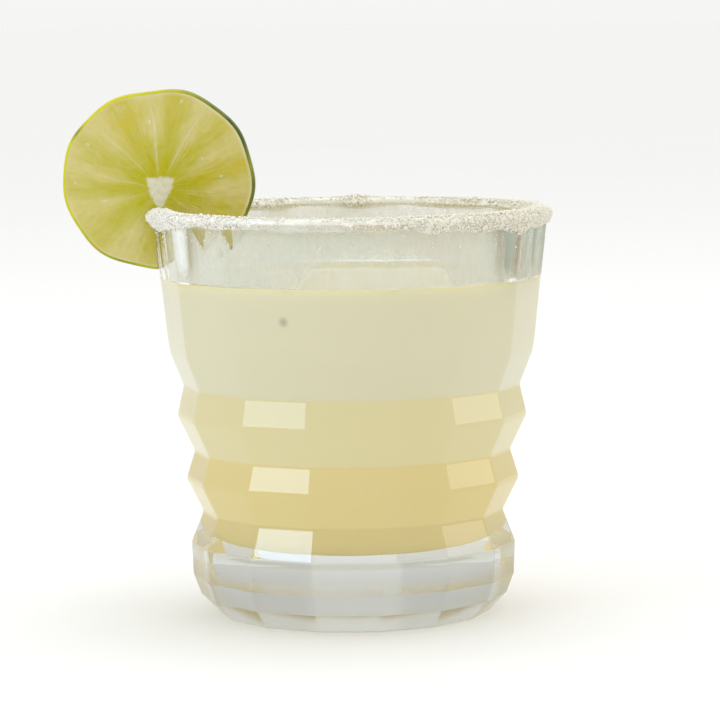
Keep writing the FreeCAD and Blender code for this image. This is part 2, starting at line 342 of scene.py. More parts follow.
def soft_noise(places, size, seed=0):
    """Smooth noise from -1 to 1 at places, with lumps about as wide as size.

    The eight lattice values round a place are blended by the smooth step 3t^2 - 2t^3."""
    scaled = np.asarray(places, dtype=np.float64) / size
    cell = np.floor(scaled).astype(np.int64)
    share = scaled - cell
    share = share * share * (3.0 - 2.0 * share)
    total = np.zeros(scaled.shape[:-1])
    for corner in np.ndindex(2, 2, 2):
        offset = np.array(corner)
        weight = np.prod(np.where(offset == 1, share, 1.0 - share), axis=-1)
        total += weight * lattice_values(cell + offset, seed)
    return total * 2.0 - 1.0


def rounded_path(corners, radii, steps=5, reach=3.0 * MM):
    """Run of points through corners, each rounded by an arc, with long straights divided.

    An arc of radius r starts r / tan(half the corner's angle) from the corner on each side."""
    corners = np.asarray(corners, dtype=float)
    path = [corners[0]]
    for before, corner, after, radius in zip(corners, corners[1:], corners[2:], radii[1:-1]):
        back = (before - corner) / np.linalg.norm(before - corner)
        ahead = (after - corner) / np.linalg.norm(after - corner)
        half = math.acos(float(np.clip(back @ ahead, -1.0, 1.0))) / 2.0
        if radius <= 0.0 or half > math.radians(89.8):
            path.append(corner)
            continue
        length = min(radius / math.tan(half), 0.45 * np.linalg.norm(before - corner),
                     0.45 * np.linalg.norm(after - corner))
        start = corner + back * length
        end = corner + ahead * length
        share = np.linspace(0.0, 1.0, steps)[:, None]
        path.extend((1 - share) ** 2 * start + 2 * share * (1 - share) * corner + share ** 2 * end)
    path.append(corners[-1])
    divided = [path[0]]
    for start, end in zip(path, path[1:]):
        parts = max(1, int(math.ceil(np.linalg.norm(end - start) / reach)))
        divided.extend(start + (end - start) * part / parts for part in range(1, parts + 1))
    return np.array(divided)


# ------------------------------------------------------------------ the tumbler's own sizes
def tumbler_levels():
    """Outside and bore of the tumbler as (radius, height) rows, read from its CAD node.

    A height whose farthest points stand at no more places than there are facets belongs to the
    outside, and one whose nearest points stand at more places belongs to the bore."""
    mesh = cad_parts["glass"].data
    points = np.empty(len(mesh.vertices) * 3)
    mesh.vertices.foreach_get("co", points)
    points = points.reshape(-1, 3)
    radius = np.hypot(points[:, 0], points[:, 1])
    angle = np.degrees(np.arctan2(points[:, 1], points[:, 0]))
    height = np.round(points[:, 2], 6)
    facets = bpy.context.scene.tumbler.facets
    outside, bore = [], []
    for level in np.unique(height):
        here = height == level
        if here.sum() < 2 * facets:
            continue
        for edge, rows in ((radius[here].max(), outside), (radius[here].min(), bore)):
            near = here & (np.abs(radius - edge) < 0.01 * MM)
            places = len(np.unique(np.round(angle[near] % 360.0, 1) % 360.0))
            if (places <= facets) == (rows is outside):
                rows.append((edge, level))
    return np.array(outside), np.array(bore)


def facet_share(angle):
    """Distance to a facet over distance to a facet edge, by angle, with the edges eased.

    A flat at angle a off its middle stands cos(half facet) / cos(a) out, and the two flats that
    meet at an edge are blended by the smooth maximum (x + y + sqrt((x - y)^2 + e^2)) / 2."""
    settings = bpy.context.scene.tumbler
    wide = FULL / settings.facets
    off = (angle - settings.facet_turn) % wide - wide / 2
    near = np.cos(off)
    other = np.cos(wide - np.abs(off))
    ease = 0.004
    largest = (near + other + np.sqrt((near - other) ** 2 + ease ** 2)) / 2
    return math.cos(wide / 2) / largest


def facet_columns():
    """Angles round the tumbler, close together at the facet edges and wide on the flats."""
    settings = bpy.context.scene.tumbler
    wide = FULL / settings.facets
    steps = np.radians([0.0, 0.3, 0.7, 1.3, 2.6, 5.0, 7.8, 10.4])
    inside = np.concatenate([steps, [wide / 2], wide - steps[:0:-1]])
    starts = settings.facet_turn + wide * np.arange(settings.facets)
    return (starts[:, None] + inside[None, :]).ravel()


def wall_at(levels, height):
    """Radius at a height between (radius, height) rows that rise in order."""
    return np.interp(height, levels[:, 1], levels[:, 0])


def neck_heights():
    """Heights of the three necks, from the lowest, where the outside is narrower than around."""
    radius = OUTSIDE[:, 0]
    narrow = (radius[1:-1] < radius[:-2]) & (radius[1:-1] < radius[2:])
    return OUTSIDE[1:-1][narrow, 1]


# Rows of (radius, height) of the tumbler's outside and bore, which main reads from its CAD node.
OUTSIDE, BORE = None, None
# Roundings of the outside, from the foot up.
FOOT_ROUND, RIDGE_ROUND, BAND_ROUND, SHOULDER_ROUND = 0.7 * MM, 1.5 * MM, 0.35 * MM, 5 * MM


def tumbler_rings():
    """Rings of the whole glass, from the middle of the foot out, up, over the lip and down the bore.

    Each ring's radius is r (1 - w (1 - f)), with r its edge radius, f the facet share and w one
    outside, nought in the bore and falling across the lip. The foot's underside is hollowed a
    little, and the band round the base keeps crisp edges."""
    settings = bpy.context.scene.tumbler
    foot, top = OUTSIDE[0], OUTSIDE[-1]
    crown = settings.lip_round
    spring = top[1] - crown
    wall = [tuple(row) for row in OUTSIDE if row[1] < spring - MM]
    punt = [(0.55 * foot[0], 0.5 * MM), (0.82 * foot[0], 0.35 * MM), (0.9 * foot[0], 0.0)]
    corners = [(0.05 * foot[0], 0.5 * MM)] + punt + wall + [(wall_at(OUTSIDE, spring), spring)]
    radii = [0.0, 4 * MM, 3 * MM, 1 * MM, FOOT_ROUND] + [RIDGE_ROUND] * (len(wall) - 1) + [0.0]
    radii[-4:-1] = [SHOULDER_ROUND] * 3
    radii[5:7] = [BAND_ROUND] * 2
    path = rounded_path(corners, radii, reach=4 * MM)
    weight = np.clip((path[:, 0] - 0.82 * foot[0]) / (0.18 * foot[0]), 0.0, 1.0)
    turn = np.linspace(0.0, math.pi, 13)[1:-1]
    outer = wall_at(OUTSIDE, spring)
    inner = wall_at(BORE, spring)
    over = (1.0 + np.cos(turn)) / 2.0
    lip = np.stack([inner + (outer - inner) * over, spring + crown * np.sin(turn)], axis=-1)
    down = [(inner, spring)] + [tuple(row) for row in BORE[::-1] if row[1] < spring - MM]
    down.append((0.03 * foot[0], BORE[0][1]))
    inside = rounded_path(down, [0.0] * len(down), reach=4 * MM)
    radius = np.concatenate([path[:, 0], lip[:, 0], inside[:, 0]])
    height = np.concatenate([path[:, 1], lip[:, 1], inside[:, 1]])
    weight = np.concatenate([weight, over, np.zeros(len(inside))])
    angle = facet_columns()
    reach = radius[:, None] * (1.0 - weight[:, None] * (1.0 - facet_share(angle))[None, :])
    rings = np.stack([
        reach * np.cos(angle),
        reach * np.sin(angle),
        np.broadcast_to(height[:, None], reach.shape),
    ], axis=-1)
    wave = settings.waviness * soft_noise(rings, 17 * MM, 3)
    wave += settings.waviness * 0.4 * soft_noise(rings, 6 * MM, 4)
    inward = np.concatenate([np.zeros(len(path) + len(lip)), np.ones(len(inside))])
    push = 1.0 - wave * (0.35 + 0.65 * inward)[:, None] / np.maximum(reach, MM)
    rings[..., 0] *= push
    rings[..., 1] *= push
    return rings


# ------------------------------------------------------------------ material helpers
def feed(material, socket, value):
    """Link a socket, or set its value."""
    if isinstance(value, bpy.types.NodeSocket):
        material.node_tree.links.new(value, socket)
    else:
        socket.default_value = value


def node(material, kind, inputs=None, **settings):
    """New node with its settings and inputs, and each input a socket to link or a value."""
    made = material.node_tree.nodes.new(kind)
    for name, value in settings.items():
        setattr(made, name, value)
    for name, value in (inputs or {}).items():
        feed(material, made.inputs[name], value)
    return made


def new_material(name, **values):
    """Material with one Principled shader, and the shader; values are its plain inputs."""
    material = bpy.data.materials.new(name)
    material.use_nodes = True
    material.node_tree.nodes.clear()
    output = node(material, "ShaderNodeOutputMaterial")
    shader = node(material, "ShaderNodeBsdfPrincipled")
    material.node_tree.links.new(shader.outputs[0], output.inputs["Surface"])
    for key, value in values.items():
        shader.inputs[key.replace("_", " ")].default_value = value
    return material, shader, output


def place(material, scale=(1.0, 1.0, 1.0), shift=(0.0, 0.0, 0.0)):
    """Object coordinates, stretched and shifted."""
    source = node(material, "ShaderNodeTexCoord").outputs["Object"]
    mapping = node(material, "ShaderNodeMapping", {"Vector": source, "Scale": scale,
                                                   "Location": shift})
    return mapping.outputs["Vector"]


def height_of(material):
    """Height above the table at each point."""
    source = node(material, "ShaderNodeTexCoord").outputs["Object"]
    return node(material, "ShaderNodeSeparateXYZ", {"Vector": source}).outputs["Z"]


def noise(material, vector, scale, detail=3.0, rough=0.5):
    """Noise from 0 to 1, with scale in lumps to a metre."""
    made = node(material, "ShaderNodeTexNoise",
                {"Vector": vector, "Scale": scale, "Detail": detail, "Roughness": rough})
    return made.outputs["Fac"]


def maths(material, operation, first, second=0.0):
    """One sum on numbers or sockets."""
    made = node(material, "ShaderNodeMath", operation=operation)
    feed(material, made.inputs[0], first)
    feed(material, made.inputs[1], second)
    return made.outputs[0]


def remap(material, value, low, high, to_low=0.0, to_high=1.0):
    """A value from one range to another, kept within it."""
    made = node(material, "ShaderNodeMapRange", {
        "Value": value, "From Min": low, "From Max": high, "To Min": to_low, "To Max": to_high})
    return made.outputs["Result"]


def mix(material, share, first, second):
    """Two colours blended by a share."""
    made = node(material, "ShaderNodeMix", data_type="RGBA")
    feed(material, made.inputs[0], share)
    feed(material, made.inputs[6], first if isinstance(first, bpy.types.NodeSocket) else opaque(first))
    feed(material, made.inputs[7],
         second if isinstance(second, bpy.types.NodeSocket) else opaque(second))
    return made.outputs[2]


def read(material, name):
    """A piece's own number at each point."""
    return node(material, "ShaderNodeAttribute", attribute_name=name).outputs["Fac"]


def bump(material, shader, height, strength, distance):
    """Fine relief on a shader from a height socket; distance is in metres."""
    made = node(material, "ShaderNodeBump",
                {"Height": height, "Strength": strength, "Distance": distance})
    material.node_tree.links.new(made.outputs["Normal"], shader.inputs["Normal"])


def let_lamps_through(material, shader, output, tint):
    """Glass that shadow and diffuse rays pass straight, so that what stands inside is lit."""
    path = node(material, "ShaderNodeLightPath")
    clear = node(material, "ShaderNodeBsdfTransparent", {"Color": opaque(tint)})
    soft = node(material, "ShaderNodeMixShader")
    hard = node(material, "ShaderNodeMixShader")
    links = material.node_tree.links
    links.new(path.outputs["Is Diffuse Ray"], soft.inputs[0])
    links.new(shader.outputs[0], soft.inputs[1])
    links.new(clear.outputs[0], soft.inputs[2])
    links.new(path.outputs["Is Shadow Ray"], hard.inputs[0])
    links.new(soft.outputs[0], hard.inputs[1])
    links.new(clear.outputs[0], hard.inputs[2])
    links.new(hard.outputs[0], output.inputs["Surface"])


# ------------------------------------------------------------------ materials
def glass_material(name, roughness):
    """Clear pressed soda glass, faintly uneven, greyer where the base is thick: partly the glass's own
    tint and partly painted shade.

    The tint changes at the floor of the bore, beside which a narrow band is greener and darker: a
    painted shade line where the bore's rounded floor darkens the view."""
    settings = bpy.context.scene.tumbler
    material, shader, output = new_material(
        name, Roughness=roughness, IOR=settings.ior, Transmission_Weight=1.0)
    height = height_of(material)
    # Painted shade, with the thick glass's own tint: greyer below the floor of the bore.
    thick = remap(material, height, BORE[0][1] + 3 * MM, BORE[0][1] - 6 * MM)
    tint = mix(material, thick, settings.wall_tint, settings.base_tint_and_painted_shade)
    # Painted shade line: a narrow darker, greener band beside the floor of the bore.
    off = maths(material, "ABSOLUTE", maths(material, "SUBTRACT", height, BORE[0][1]))
    tint = mix(material, remap(material, off, 1.1 * MM, 0.4 * MM), tint, settings.floor_line_painted_shade)
    feed(material, shader.inputs["Base Color"], tint)
    bump(material, shader, noise(material, place(material), 90.0, 1.0), 0.12, 0.4 * MM)
    let_lamps_through(material, shader, output, (0.93, 0.94, 0.925))
    return material


def drink_colours(material, level_line):
    """Cloudy citrus colour that deepens in steps at the necks, with drifts and a dark fleck.

    The steps at the necks are painted: they stand for the facets' reflections and for the view bending
    to deeper drink there. The deepening downward is partly the drink's own colour and partly painted
    shade of light that fades on its way down. The colour under the level is the level line's, or the
    drink's own if that is None."""
    settings = bpy.context.scene.drink
    low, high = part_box("drink")
    ramp = node(material, "ShaderNodeValToRGB",
                {"Fac": remap(material, height_of(material), low.z, high.z)})
    # Painted steps at the necks, standing for facet reflections and the view bent to deeper drink.
    necks = neck_heights()
    layers = (settings.floor_band, settings.lower_band, settings.upper_band,
              settings.body_colour)
    blend = 0.35 * MM
    stops = [(low.z, layers[0])]
    for neck, under, over in zip(necks, layers, layers[1:]):
        stops += [(neck - blend, under), (neck + blend, over)]
    stops.append((high.z - 0.6 * MM, layers[-1]))
    stops.append((high.z - 0.35 * MM, layers[-1] if level_line is None else level_line))
    elements = ramp.color_ramp.elements
    while len(elements) < len(stops):
        elements.new(1.0)
    for element, (height, colour) in zip(elements, stops):
        element.position = (height - low.z) / (high.z - low.z)
        element.color = opaque(colour)
    drift = noise(material, place(material), 45.0, 3.0)
    colour = mix(material, remap(material, drift, 0.35, 0.65, 0.0, 0.1), ramp.outputs["Color"],
                 (0.78, 0.72, 0.46))
    spot = node(material, "ShaderNodeTexCoord").outputs["Object"]
    out = wall_at(BORE, settings.fleck_height)
    fleck_spot = (out * math.cos(settings.fleck_angle), out * math.sin(settings.fleck_angle),
                  settings.fleck_height)
    away = node(material, "ShaderNodeVectorMath", {0: spot, 1: fleck_spot},
                operation="DISTANCE").outputs["Value"]
    fleck = remap(material, away, settings.fleck_size * 0.2, settings.fleck_size * 1.4, 0.6, 0.0)
    return mix(material, fleck, colour, settings.fleck_colour)


def drink_material():
    """The drink behind glass: cloudy, with no shine of its own where the wall wets it."""
    material, shader, _ = new_material(
        "cloudy_margarita", Roughness=0.6, Specular_IOR_Level=0.0, IOR=1.33,
        Subsurface_Weight=0.4, Subsurface_Radius=(1.0, 0.9, 0.55), Subsurface_Scale=4 * MM)
    level_line = bpy.context.scene.drink.level_line
    feed(material, shader.inputs["Base Color"], drink_colours(material, level_line))
    return material


def drink_surface_material():
    """The drink's open surface: the same cloudiness made darker by painted shade, under a faint wet
    shine.
    """
    material, shader, _ = new_material(
        "margarita_surface", Roughness=0.08, IOR=1.33, Specular_IOR_Level=0.12,
        Subsurface_Weight=0.4, Subsurface_Radius=(1.0, 0.9, 0.55), Subsurface_Scale=4 * MM)
    # Painted shade mixed in, so the surface is a darker copy of the drink.
    feed(material, shader.inputs["Base Color"],
         mix(material, 0.55, drink_colours(material, None),
             bpy.context.scene.drink.surface_painted_shade))
    bump(material, shader, noise(material, place(material), 120.0, 1.0), 0.08, 0.5 * MM)
    return material


def haze_material(name, colour):
    """Thin dried salty film in runs and blotches, whose cover and tone the piece holds.

    Noise takes from the cover or adds to it, and a tone over nought is whiter and one under
    it a grey green."""
    settings = bpy.context.scene.drink
    material, shader, _ = new_material(name, Roughness=0.75, Specular_IOR_Level=0.2)
    runs = noise(material, place(material, (1.0, 1.0, 0.22)), 420.0, 3.0)
    blots = noise(material, place(material), 95.0, 3.0)
    fine = noise(material, place(material), 2600.0, 2.0)
    cover = read(material, "cover")
    for part, amount in ((runs, 0.45), (blots, 0.6), (fine, 0.25)):
        change = maths(material, "MULTIPLY", maths(material, "SUBTRACT", part, 0.5), amount)
        cover = maths(material, "ADD", cover, change)
    feed(material, shader.inputs["Alpha"], remap(material, cover, 0.0, 1.0))
    shade = mix(material, remap(material, blots, 0.35, 0.65), colour, settings.blotch_colour)
    tone = read(material, "tone")
    shade = mix(material, remap(material, tone, 0.0, 1.0), shade, settings.white_run)
    feed(material, shader.inputs["Base Color"],
         mix(material, remap(material, tone, 0.0, -1.0), shade, settings.grey_run))
    return material


# ------------------------------------------------------------------ tumbler, drink and haze
# Faces under the first height are the worn underside, and the outside is a little rough up to
# the second.
UNDERSIDE, SOFT_FOOT = 0.6 * MM, 10.6 * MM
WORN_ROUGHNESS, SOFT_ROUGHNESS = 0.38, 0.22


class MARGARITA_OT_glass(bpy.types.Operator):
    """Clear fifteen-sided tumbler with its ridges, thick base and rounded lip"""

    bl_idname = "margarita.add_glass"
    bl_label = "Tumbler"

    def execute(self, context):
        points, quads, triangles = shut_lathe(tumbler_rings())
        glass = put_mesh("tumbler_glass", points, quads, triangles)
        smooth_by_area(glass)
        glass.data.materials.append(glass_material("clear_pressed_glass", 0.0))
        glass.data.materials.append(glass_material("worn_foot_glass", WORN_ROUGHNESS))
        glass.data.materials.append(glass_material("soft_foot_glass", SOFT_ROUGHNESS))
        centres = np.empty(len(glass.data.polygons) * 3)
        glass.data.polygons.foreach_get("center", centres)
        height = centres[2::3]
        outward = np.hypot(centres[0::3], centres[1::3])
        soft = (height < SOFT_FOOT) & (outward > BORE[0][0])
        part = np.where(height < UNDERSIDE, 1, np.where(soft, 2, 0)).astype(np.int32)
        glass.data.polygons.foreach_set("material_index", part)
        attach(glass, BODY)
        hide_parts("glass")
        return {"FINISHED"}


# How far from the wall the drink's surface still climbs.
MENISCUS_REACH = 1.3 * MM


def drink_rings():
    """Rings of the drink, from the middle of the floor up the bore and in along the surface.

    The surface is at its level less its sag, and climbs by m exp(-d / w) at a distance d from
    the wall."""
    settings = bpy.context.scene.drink
    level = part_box("drink")[1].z
    bite = settings.wall_bite
    floor = BORE[0]
    wetted = BORE[(BORE[:, 1] < level - MM)]
    corners = [(0.03 * floor[0], floor[1])] + [tuple(row) for row in wetted]
    corners.append((wall_at(BORE, level), level + 0.1 * MM))
    path = rounded_path(corners, [0.0] * len(corners), reach=4 * MM)
    path[:, 0] += bite * np.clip(path[:, 0] / floor[0], 0.0, 1.0)
    path[:, 1] -= bite * (path[:, 1] <= floor[1] + 0.01 * MM)
    edge = path[-1, 0]
    away = edge * np.linspace(0.0, 1.0, 26)[1:-1] ** 2.2
    climb = settings.meniscus * np.exp(-away / MENISCUS_REACH)
    surface = np.stack([edge - away, level + 0.1 * MM - settings.meniscus + climb], axis=-1)
    outline = np.concatenate([path, surface])
    angle = np.linspace(0.0, FULL, 161)[:-1]
    rings = np.stack([
        outline[:, 0:1] * np.cos(angle),
        outline[:, 0:1] * np.sin(angle),
        np.repeat(outline[:, 1:2], len(angle), axis=1),
    ], axis=-1)
    return rings, len(path)


class MARGARITA_OT_drink(bpy.types.Operator):
    """Cloudy drink that reaches just into the wall, with its surface drawn up at the glass"""

    bl_idname = "margarita.add_drink"
    bl_label = "Drink"

    def execute(self, context):
        rings, wetted = drink_rings()
        points, quads, triangles = shut_lathe(rings)
        drink = put_mesh("drink_margarita", points, quads, triangles)
        smooth_by_area(drink)
        drink.data.materials.append(drink_material())
        drink.data.materials.append(drink_surface_material())
        columns = rings.shape[1]
        open_top = np.zeros(len(drink.data.polygons), dtype=np.int32)
        open_top[(wetted - 1) * columns:len(quads)] = 1
        open_top[len(quads) + columns:] = 1
        drink.data.polygons.foreach_set("material_index", open_top)
        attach(drink, BODY)
        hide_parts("drink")
        return {"FINISHED"}


def wall_film(name, low, high, levels, gap, thick, facets):
    """Thin closed skin on one side of the wall, from a height to another, and its places.

    Its rings go up one side of the skin and down the other, thick apart; gap is the distance
    from the wall, below nought inside the tumbler."""
    height = np.linspace(low, high, 40)
    near = wall_at(levels, height) + gap
    far = near + math.copysign(thick, gap)
    outer, inner = (far, near) if gap > 0 else (near, far)
    radius = np.concatenate([outer, inner[::-1]])
    height = np.concatenate([height, height[::-1]])
    angle = np.linspace(0.0, FULL, 361)[:-1]
    if facets:
        angle = facet_columns()
    share = facet_share(angle) if facets else np.ones_like(angle)
    reach = radius[:, None] * share[None, :]
    rings = np.stack([
        reach * np.cos(angle),
        reach * np.sin(angle),
        np.broadcast_to(height[:, None], reach.shape),
    ], axis=-1)
    film = put_mesh(name, rings.reshape(-1, 3), grid_faces(*rings.shape[:2], shut=True))
    smooth_by_area(film)
    turn = np.degrees(np.broadcast_to(angle[None, :], reach.shape))
    return film, turn, rings[..., 2]


def turned_from(angle, centre):
    """Degrees from a centre to angles, between minus and plus 180."""
    return (angle - centre + 180.0) % 360.0 - 180.0


# Runs of brine down the wall: angle from +X, half spread in degrees, share of the wall left
# bare below, and tone.
HAZE_RUNS = (
    (211.2, 4.4, 0.02, 1.0), (197.5, 2.2, 0.12, 0.8), (217.4, 0.8, 0.20, -0.5),
    (187.0, 1.6, 0.05, -0.5), (313.5, 1.6, 0.62, -0.7), (318.3, 0.8, 0.45, 0.6),
    (322.8, 3.4, 0.02, -1.0), (328.6, 0.9, 0.05, 0.5), (333.5, 3.0, 0.02, -0.6),
    (341.5, 3.0, 0.02, -0.9), (350.0, 3.5, 0.02, -0.6),
)
# Gaps wiped in the film beside the lime, as wedges that narrow downwards: angle from +X, half
# width in degrees, top under the lip and depth in millimetres.
HAZE_GAPS = ((218.8, 3.4, 3.2, 4.2), (231.0, 1.9, 2.8, 4.6))


def haze_tone(angle, height, low, high):
    """Tone of the runs at places: each is exp(-(a / w)^4) wide and fades out at its foot.

    Its half width w narrows from the lip to its foot."""
    share = (height - low) / (high - low)
    tone = np.zeros_like(angle)
    for centre, spread, bare, strength in HAZE_RUNS:
        down = np.clip((share - bare) / 0.25, 0.0, 1.0)
        width = spread * (0.55 + 0.45 * np.clip(share, 0.0, 1.0))
        tone += strength * down * np.exp(-(turned_from(angle, centre) / width) ** 4)
    return np.clip(tone, -1.0, 1.0)


def haze_gaps(angle, height, lip):
    """How far the film is wiped off at places, from 0 to 1: wedges a / w + d / h under one."""
    wiped = np.zeros_like(angle)
    for centre, spread, top, deep in HAZE_GAPS:
        down = (lip - top * MM - height) / (deep * MM)
        across = np.abs(turned_from(angle, centre + 1.2 * down)) / spread
        wedge = np.clip((1.0 - across - down) * 4.0, 0.0, 1.0)
        wiped += wedge * np.clip(down * 6.0 + 1.0, 0.0, 1.0)
    return np.clip(wiped, 0.0, 1.0)


def film_cover(angle, share, wiped):
    """Cover of the film inside: 0.6, less at the back, low down in front and where wiped.

    It is thinnest under an arch in front, h sqrt(1 - (a / w)^2) high, where the drink's surface
    shows through. share is the way up from the level to the lip."""
    front = np.clip(1.0 - np.abs(turned_from(angle, 272.0)) / 45.0, 0.0, 1.0)
    back = np.clip(1.5 - np.abs(turned_from(angle, 90.0)) / 60.0, 0.0, 1.0)
    arch = 0.62 * np.sqrt(np.clip(1.0 - (turned_from(angle, 278.5) / 25.0) ** 2, 0.0, 1.0))
    bare = np.clip((arch - share) / 0.16, 0.0, 1.0)
    cover = 0.60 - 0.3 * front * np.clip(0.5 - share, 0.0, 1.0) - 0.28 * back - 0.42 * bare
    return cover - 1.2 * wiped


def smear_cover(angle, top, end, tone, wiped):
    """Cover of the smear outside: most under the lip in front, in the runs and at one end.

    top is one just under the lip and end is one at the end away from the lime."""
    front = np.exp(-(turned_from(angle, 266.0) / 26.0) ** 2)
    front += 0.8 * np.exp(-(turned_from(angle, 315.0) / 30.0) ** 2)
    cover = -0.3 + 0.3 * top + 0.62 * front * top + 1.2 * np.abs(tone) + 0.6 * end
    return cover - 1.2 * wiped


class MARGARITA_OT_haze(bpy.types.Operator):
    """Salty haze: a dried film on the bore above the drink and a smear under the lip outside"""

    bl_idname = "margarita.add_haze"
    bl_label = "Haze"

    def execute(self, context):
        settings = context.scene.drink
        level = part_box("drink")[1].z
        lip = OUTSIDE[-1][1]
        spring = lip - context.scene.tumbler.lip_round
        inside, angle, height = wall_film(
            "haze_inside", level + 0.5 * MM, spring - 0.2 * MM, BORE, -0.03 * MM, 0.05 * MM, False)
        share = (height - level) / (lip - level)
        cover = film_cover(angle, share, haze_gaps(angle, height, lip))
        add_attribute(inside, "cover", cover.ravel())
        add_attribute(inside, "tone", np.zeros(angle.size))
        inside.data.materials.append(haze_material("dried_film", settings.haze_colour))
        outside, angle, height = wall_film(
            "haze_outside", level + 0.3 * MM, spring - 0.2 * MM, OUTSIDE, 0.03 * MM, 0.05 * MM,
            True)
        top = np.clip((height - lip + 3.4 * MM) / (1.2 * MM), 0.0, 1.0)
        end = np.exp(-(turned_from(angle, 340.0) / 16.0) ** 4)
        tone = np.clip(haze_tone(angle, height, level, lip) - 0.3 * end, -1.0, 1.0)
        cover = smear_cover(angle, top, end, tone, haze_gaps(angle, height, lip))
        add_attribute(outside, "cover", cover.ravel())
        add_attribute(outside, "tone", tone.ravel())
        outside.data.materials.append(haze_material("salty_smear", settings.smear_colour))
        for film in (inside, outside):
            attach(film, BODY)
        return {"FINISHED"}


# ------------------------------------------------------------------ drop and bubbles
class MARGARITA_OT_wet(bpy.types.Operator):
    """Drop of water on the wall beside the lime, and small bubbles at the drink's edge"""

    bl_idname = "margarita.add_wet"
    bl_label = "Drop and bubbles"

    def execute(self, context):
        settings = context.scene.drink
        drop = put_mesh("water_drop", *drop_mesh(settings.drop_size))
        drop.data.polygons.foreach_set("use_smooth", np.ones(len(drop.data.polygons), dtype=bool))
        material, shader, output = new_material(
            "clear_water", Roughness=0.0, IOR=1.33, Transmission_Weight=1.0)
        shader.inputs["Base Color"].default_value = (0.97, 0.98, 0.96, 1.0)
        let_lamps_through(material, shader, output, (0.96, 0.97, 0.95))
        drop.data.materials.append(material)
        bubbles = put_mesh("drink_bubbles", *bubble_mesh(settings.bubbles))
        bubbles.data.polygons.foreach_set(
            "use_smooth", np.ones(len(bubbles.data.polygons), dtype=bool))
        foam, shader, _ = new_material("pale_bubbles", Roughness=0.1, IOR=1.33)
        feed(foam, shader.inputs["Base Color"],
             mix(foam, noise(foam, place(foam), 900.0), display(222, 214, 180),
                 display(246, 242, 222)))
        bubbles.data.materials.append(foam)
        for piece, slot in ((drop, "clear_glass"), (bubbles, "cloudy_drink")):
            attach(piece, BODY)
        return {"FINISHED"}


def drop_mesh(size):
    """Drop on a flat of the wall: a dome, with a flat back that stands just in the glass.

    A place is centre + r t + s u + h n, with t and u along the flat and n out of it, and the
    dome's h is d sqrt(1 - q^2) at a share q of the way out."""
    settings = bpy.context.scene.tumbler
    drink = bpy.context.scene.drink
    wide = FULL / settings.facets
    facet = math.floor((drink.drop_angle - settings.facet_turn) / wide) + 0.5
    middle = settings.facet_turn + wide * facet
    height = drink.drop_height
    reach = wall_at(OUTSIDE, height) * float(facet_share(np.array([drink.drop_angle]))[0])
    centre = np.array([reach * math.cos(drink.drop_angle), reach * math.sin(drink.drop_angle),
                       height])
    slope = (wall_at(OUTSIDE, height + MM) - wall_at(OUTSIDE, height - MM)) / (2 * MM)
    slope *= math.cos(wide / 2)
    out = np.array([math.cos(middle), math.sin(middle), -slope])
    out /= np.linalg.norm(out)
    along = np.array([-math.sin(middle), math.cos(middle), 0.0])
    upward = np.cross(out, along)
    share = np.sin(np.linspace(0.03, math.pi / 2, 14))
    turn = np.linspace(0.0, FULL, 33)[:-1]
    dome = 0.42 * size * np.sqrt(1.0 - share ** 2)
    rows = np.concatenate([share, share[::-1]])
    lift = np.concatenate([dome, np.full(len(share), -0.06 * MM)])
    uneven = 1.0 + 0.06 * np.cos(2 * turn + 0.8) + 0.03 * np.cos(3 * turn)
    radius = size * rows[:, None] * uneven[None, :]
    rings = (centre + (radius * np.cos(turn))[..., None] * along
             + (radius * np.sin(turn) * 1.05)[..., None] * upward + lift[:, None, None] * out)
    return shut_lathe(rings[::-1])


def bubble_mesh(count):
    """Small balls half sunk in the drink's surface round its edge, in loose groups.

    Each is a grid of 6 rings of 8 columns, its place on the surface where the meniscus is."""
    rng = np.random.default_rng(21)
    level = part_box("drink")[1].z
    groups = rng.uniform(0.0, FULL, 9)
    angle = groups[rng.integers(0, len(groups), count)] + rng.normal(0.0, 0.09, count)
    size = 0.16 * MM * np.exp(rng.normal(0.0, 0.45, count))
    away = 0.3 * MM + np.abs(rng.normal(0.0, 1.6 * MM, count))
    radius = wall_at(BORE, level) - away
    sunk = bpy.context.scene.drink.meniscus * (1.0 - np.exp(-away / MENISCUS_REACH))
    centre = np.stack([radius * np.cos(angle), radius * np.sin(angle),
                       level + 0.1 * MM - sunk], axis=-1)
    rise = np.linspace(-math.pi / 2, math.pi / 2, 8)[1:-1]
    turn = np.linspace(0.0, FULL, 9)[:-1]
    ball = np.stack([
        np.cos(rise)[:, None] * np.cos(turn)[None, :],
        np.cos(rise)[:, None] * np.sin(turn)[None, :],
        np.broadcast_to(np.sin(rise)[:, None], (len(rise), len(turn))),
    ], axis=-1)
    points, quads, triangles = shut_lathe(ball)
    many = centre[:, None, :] + size[:, None, None] * points[None]
    step = np.arange(count)[:, None, None] * len(points)
    return (many.reshape(-1, 3), (step + quads[None]).reshape(-1, 4),
            (step + triangles[None]).reshape(-1, 3))


# ------------------------------------------------------------------ lime wheel
SEGMENT_EDGES = np.radians([25.0, 60.0, 95.0, 134.0, 170.0, 203.0, 242.0, 281.0, 318.0, 352.0])
SEGMENT_REACH = np.array([1.0, 1.3, 1.05, 0.95, 1.15, 1.15, 1.05, 0.95, 1.2, 1.4])
SEGMENT_GOLD = np.array([0.2, 0.3, 0.7, 0.1, 0.1, 0.1, 0.2, 0.3, 0.4, 0.85])
EDGE_SHOWS = np.array([0.2, 0.75, 1.0, 0.35, 0.45, 0.3, 0.3, 0.3, 0.3, 0.15])
# Points of the white core: angle and half spread in degrees, and how far it reaches.
PITH_POINTS = ((36.0, 22.0, 0.055), (140.0, 18.0, 0.045), (270.0, 24.0, 0.11))
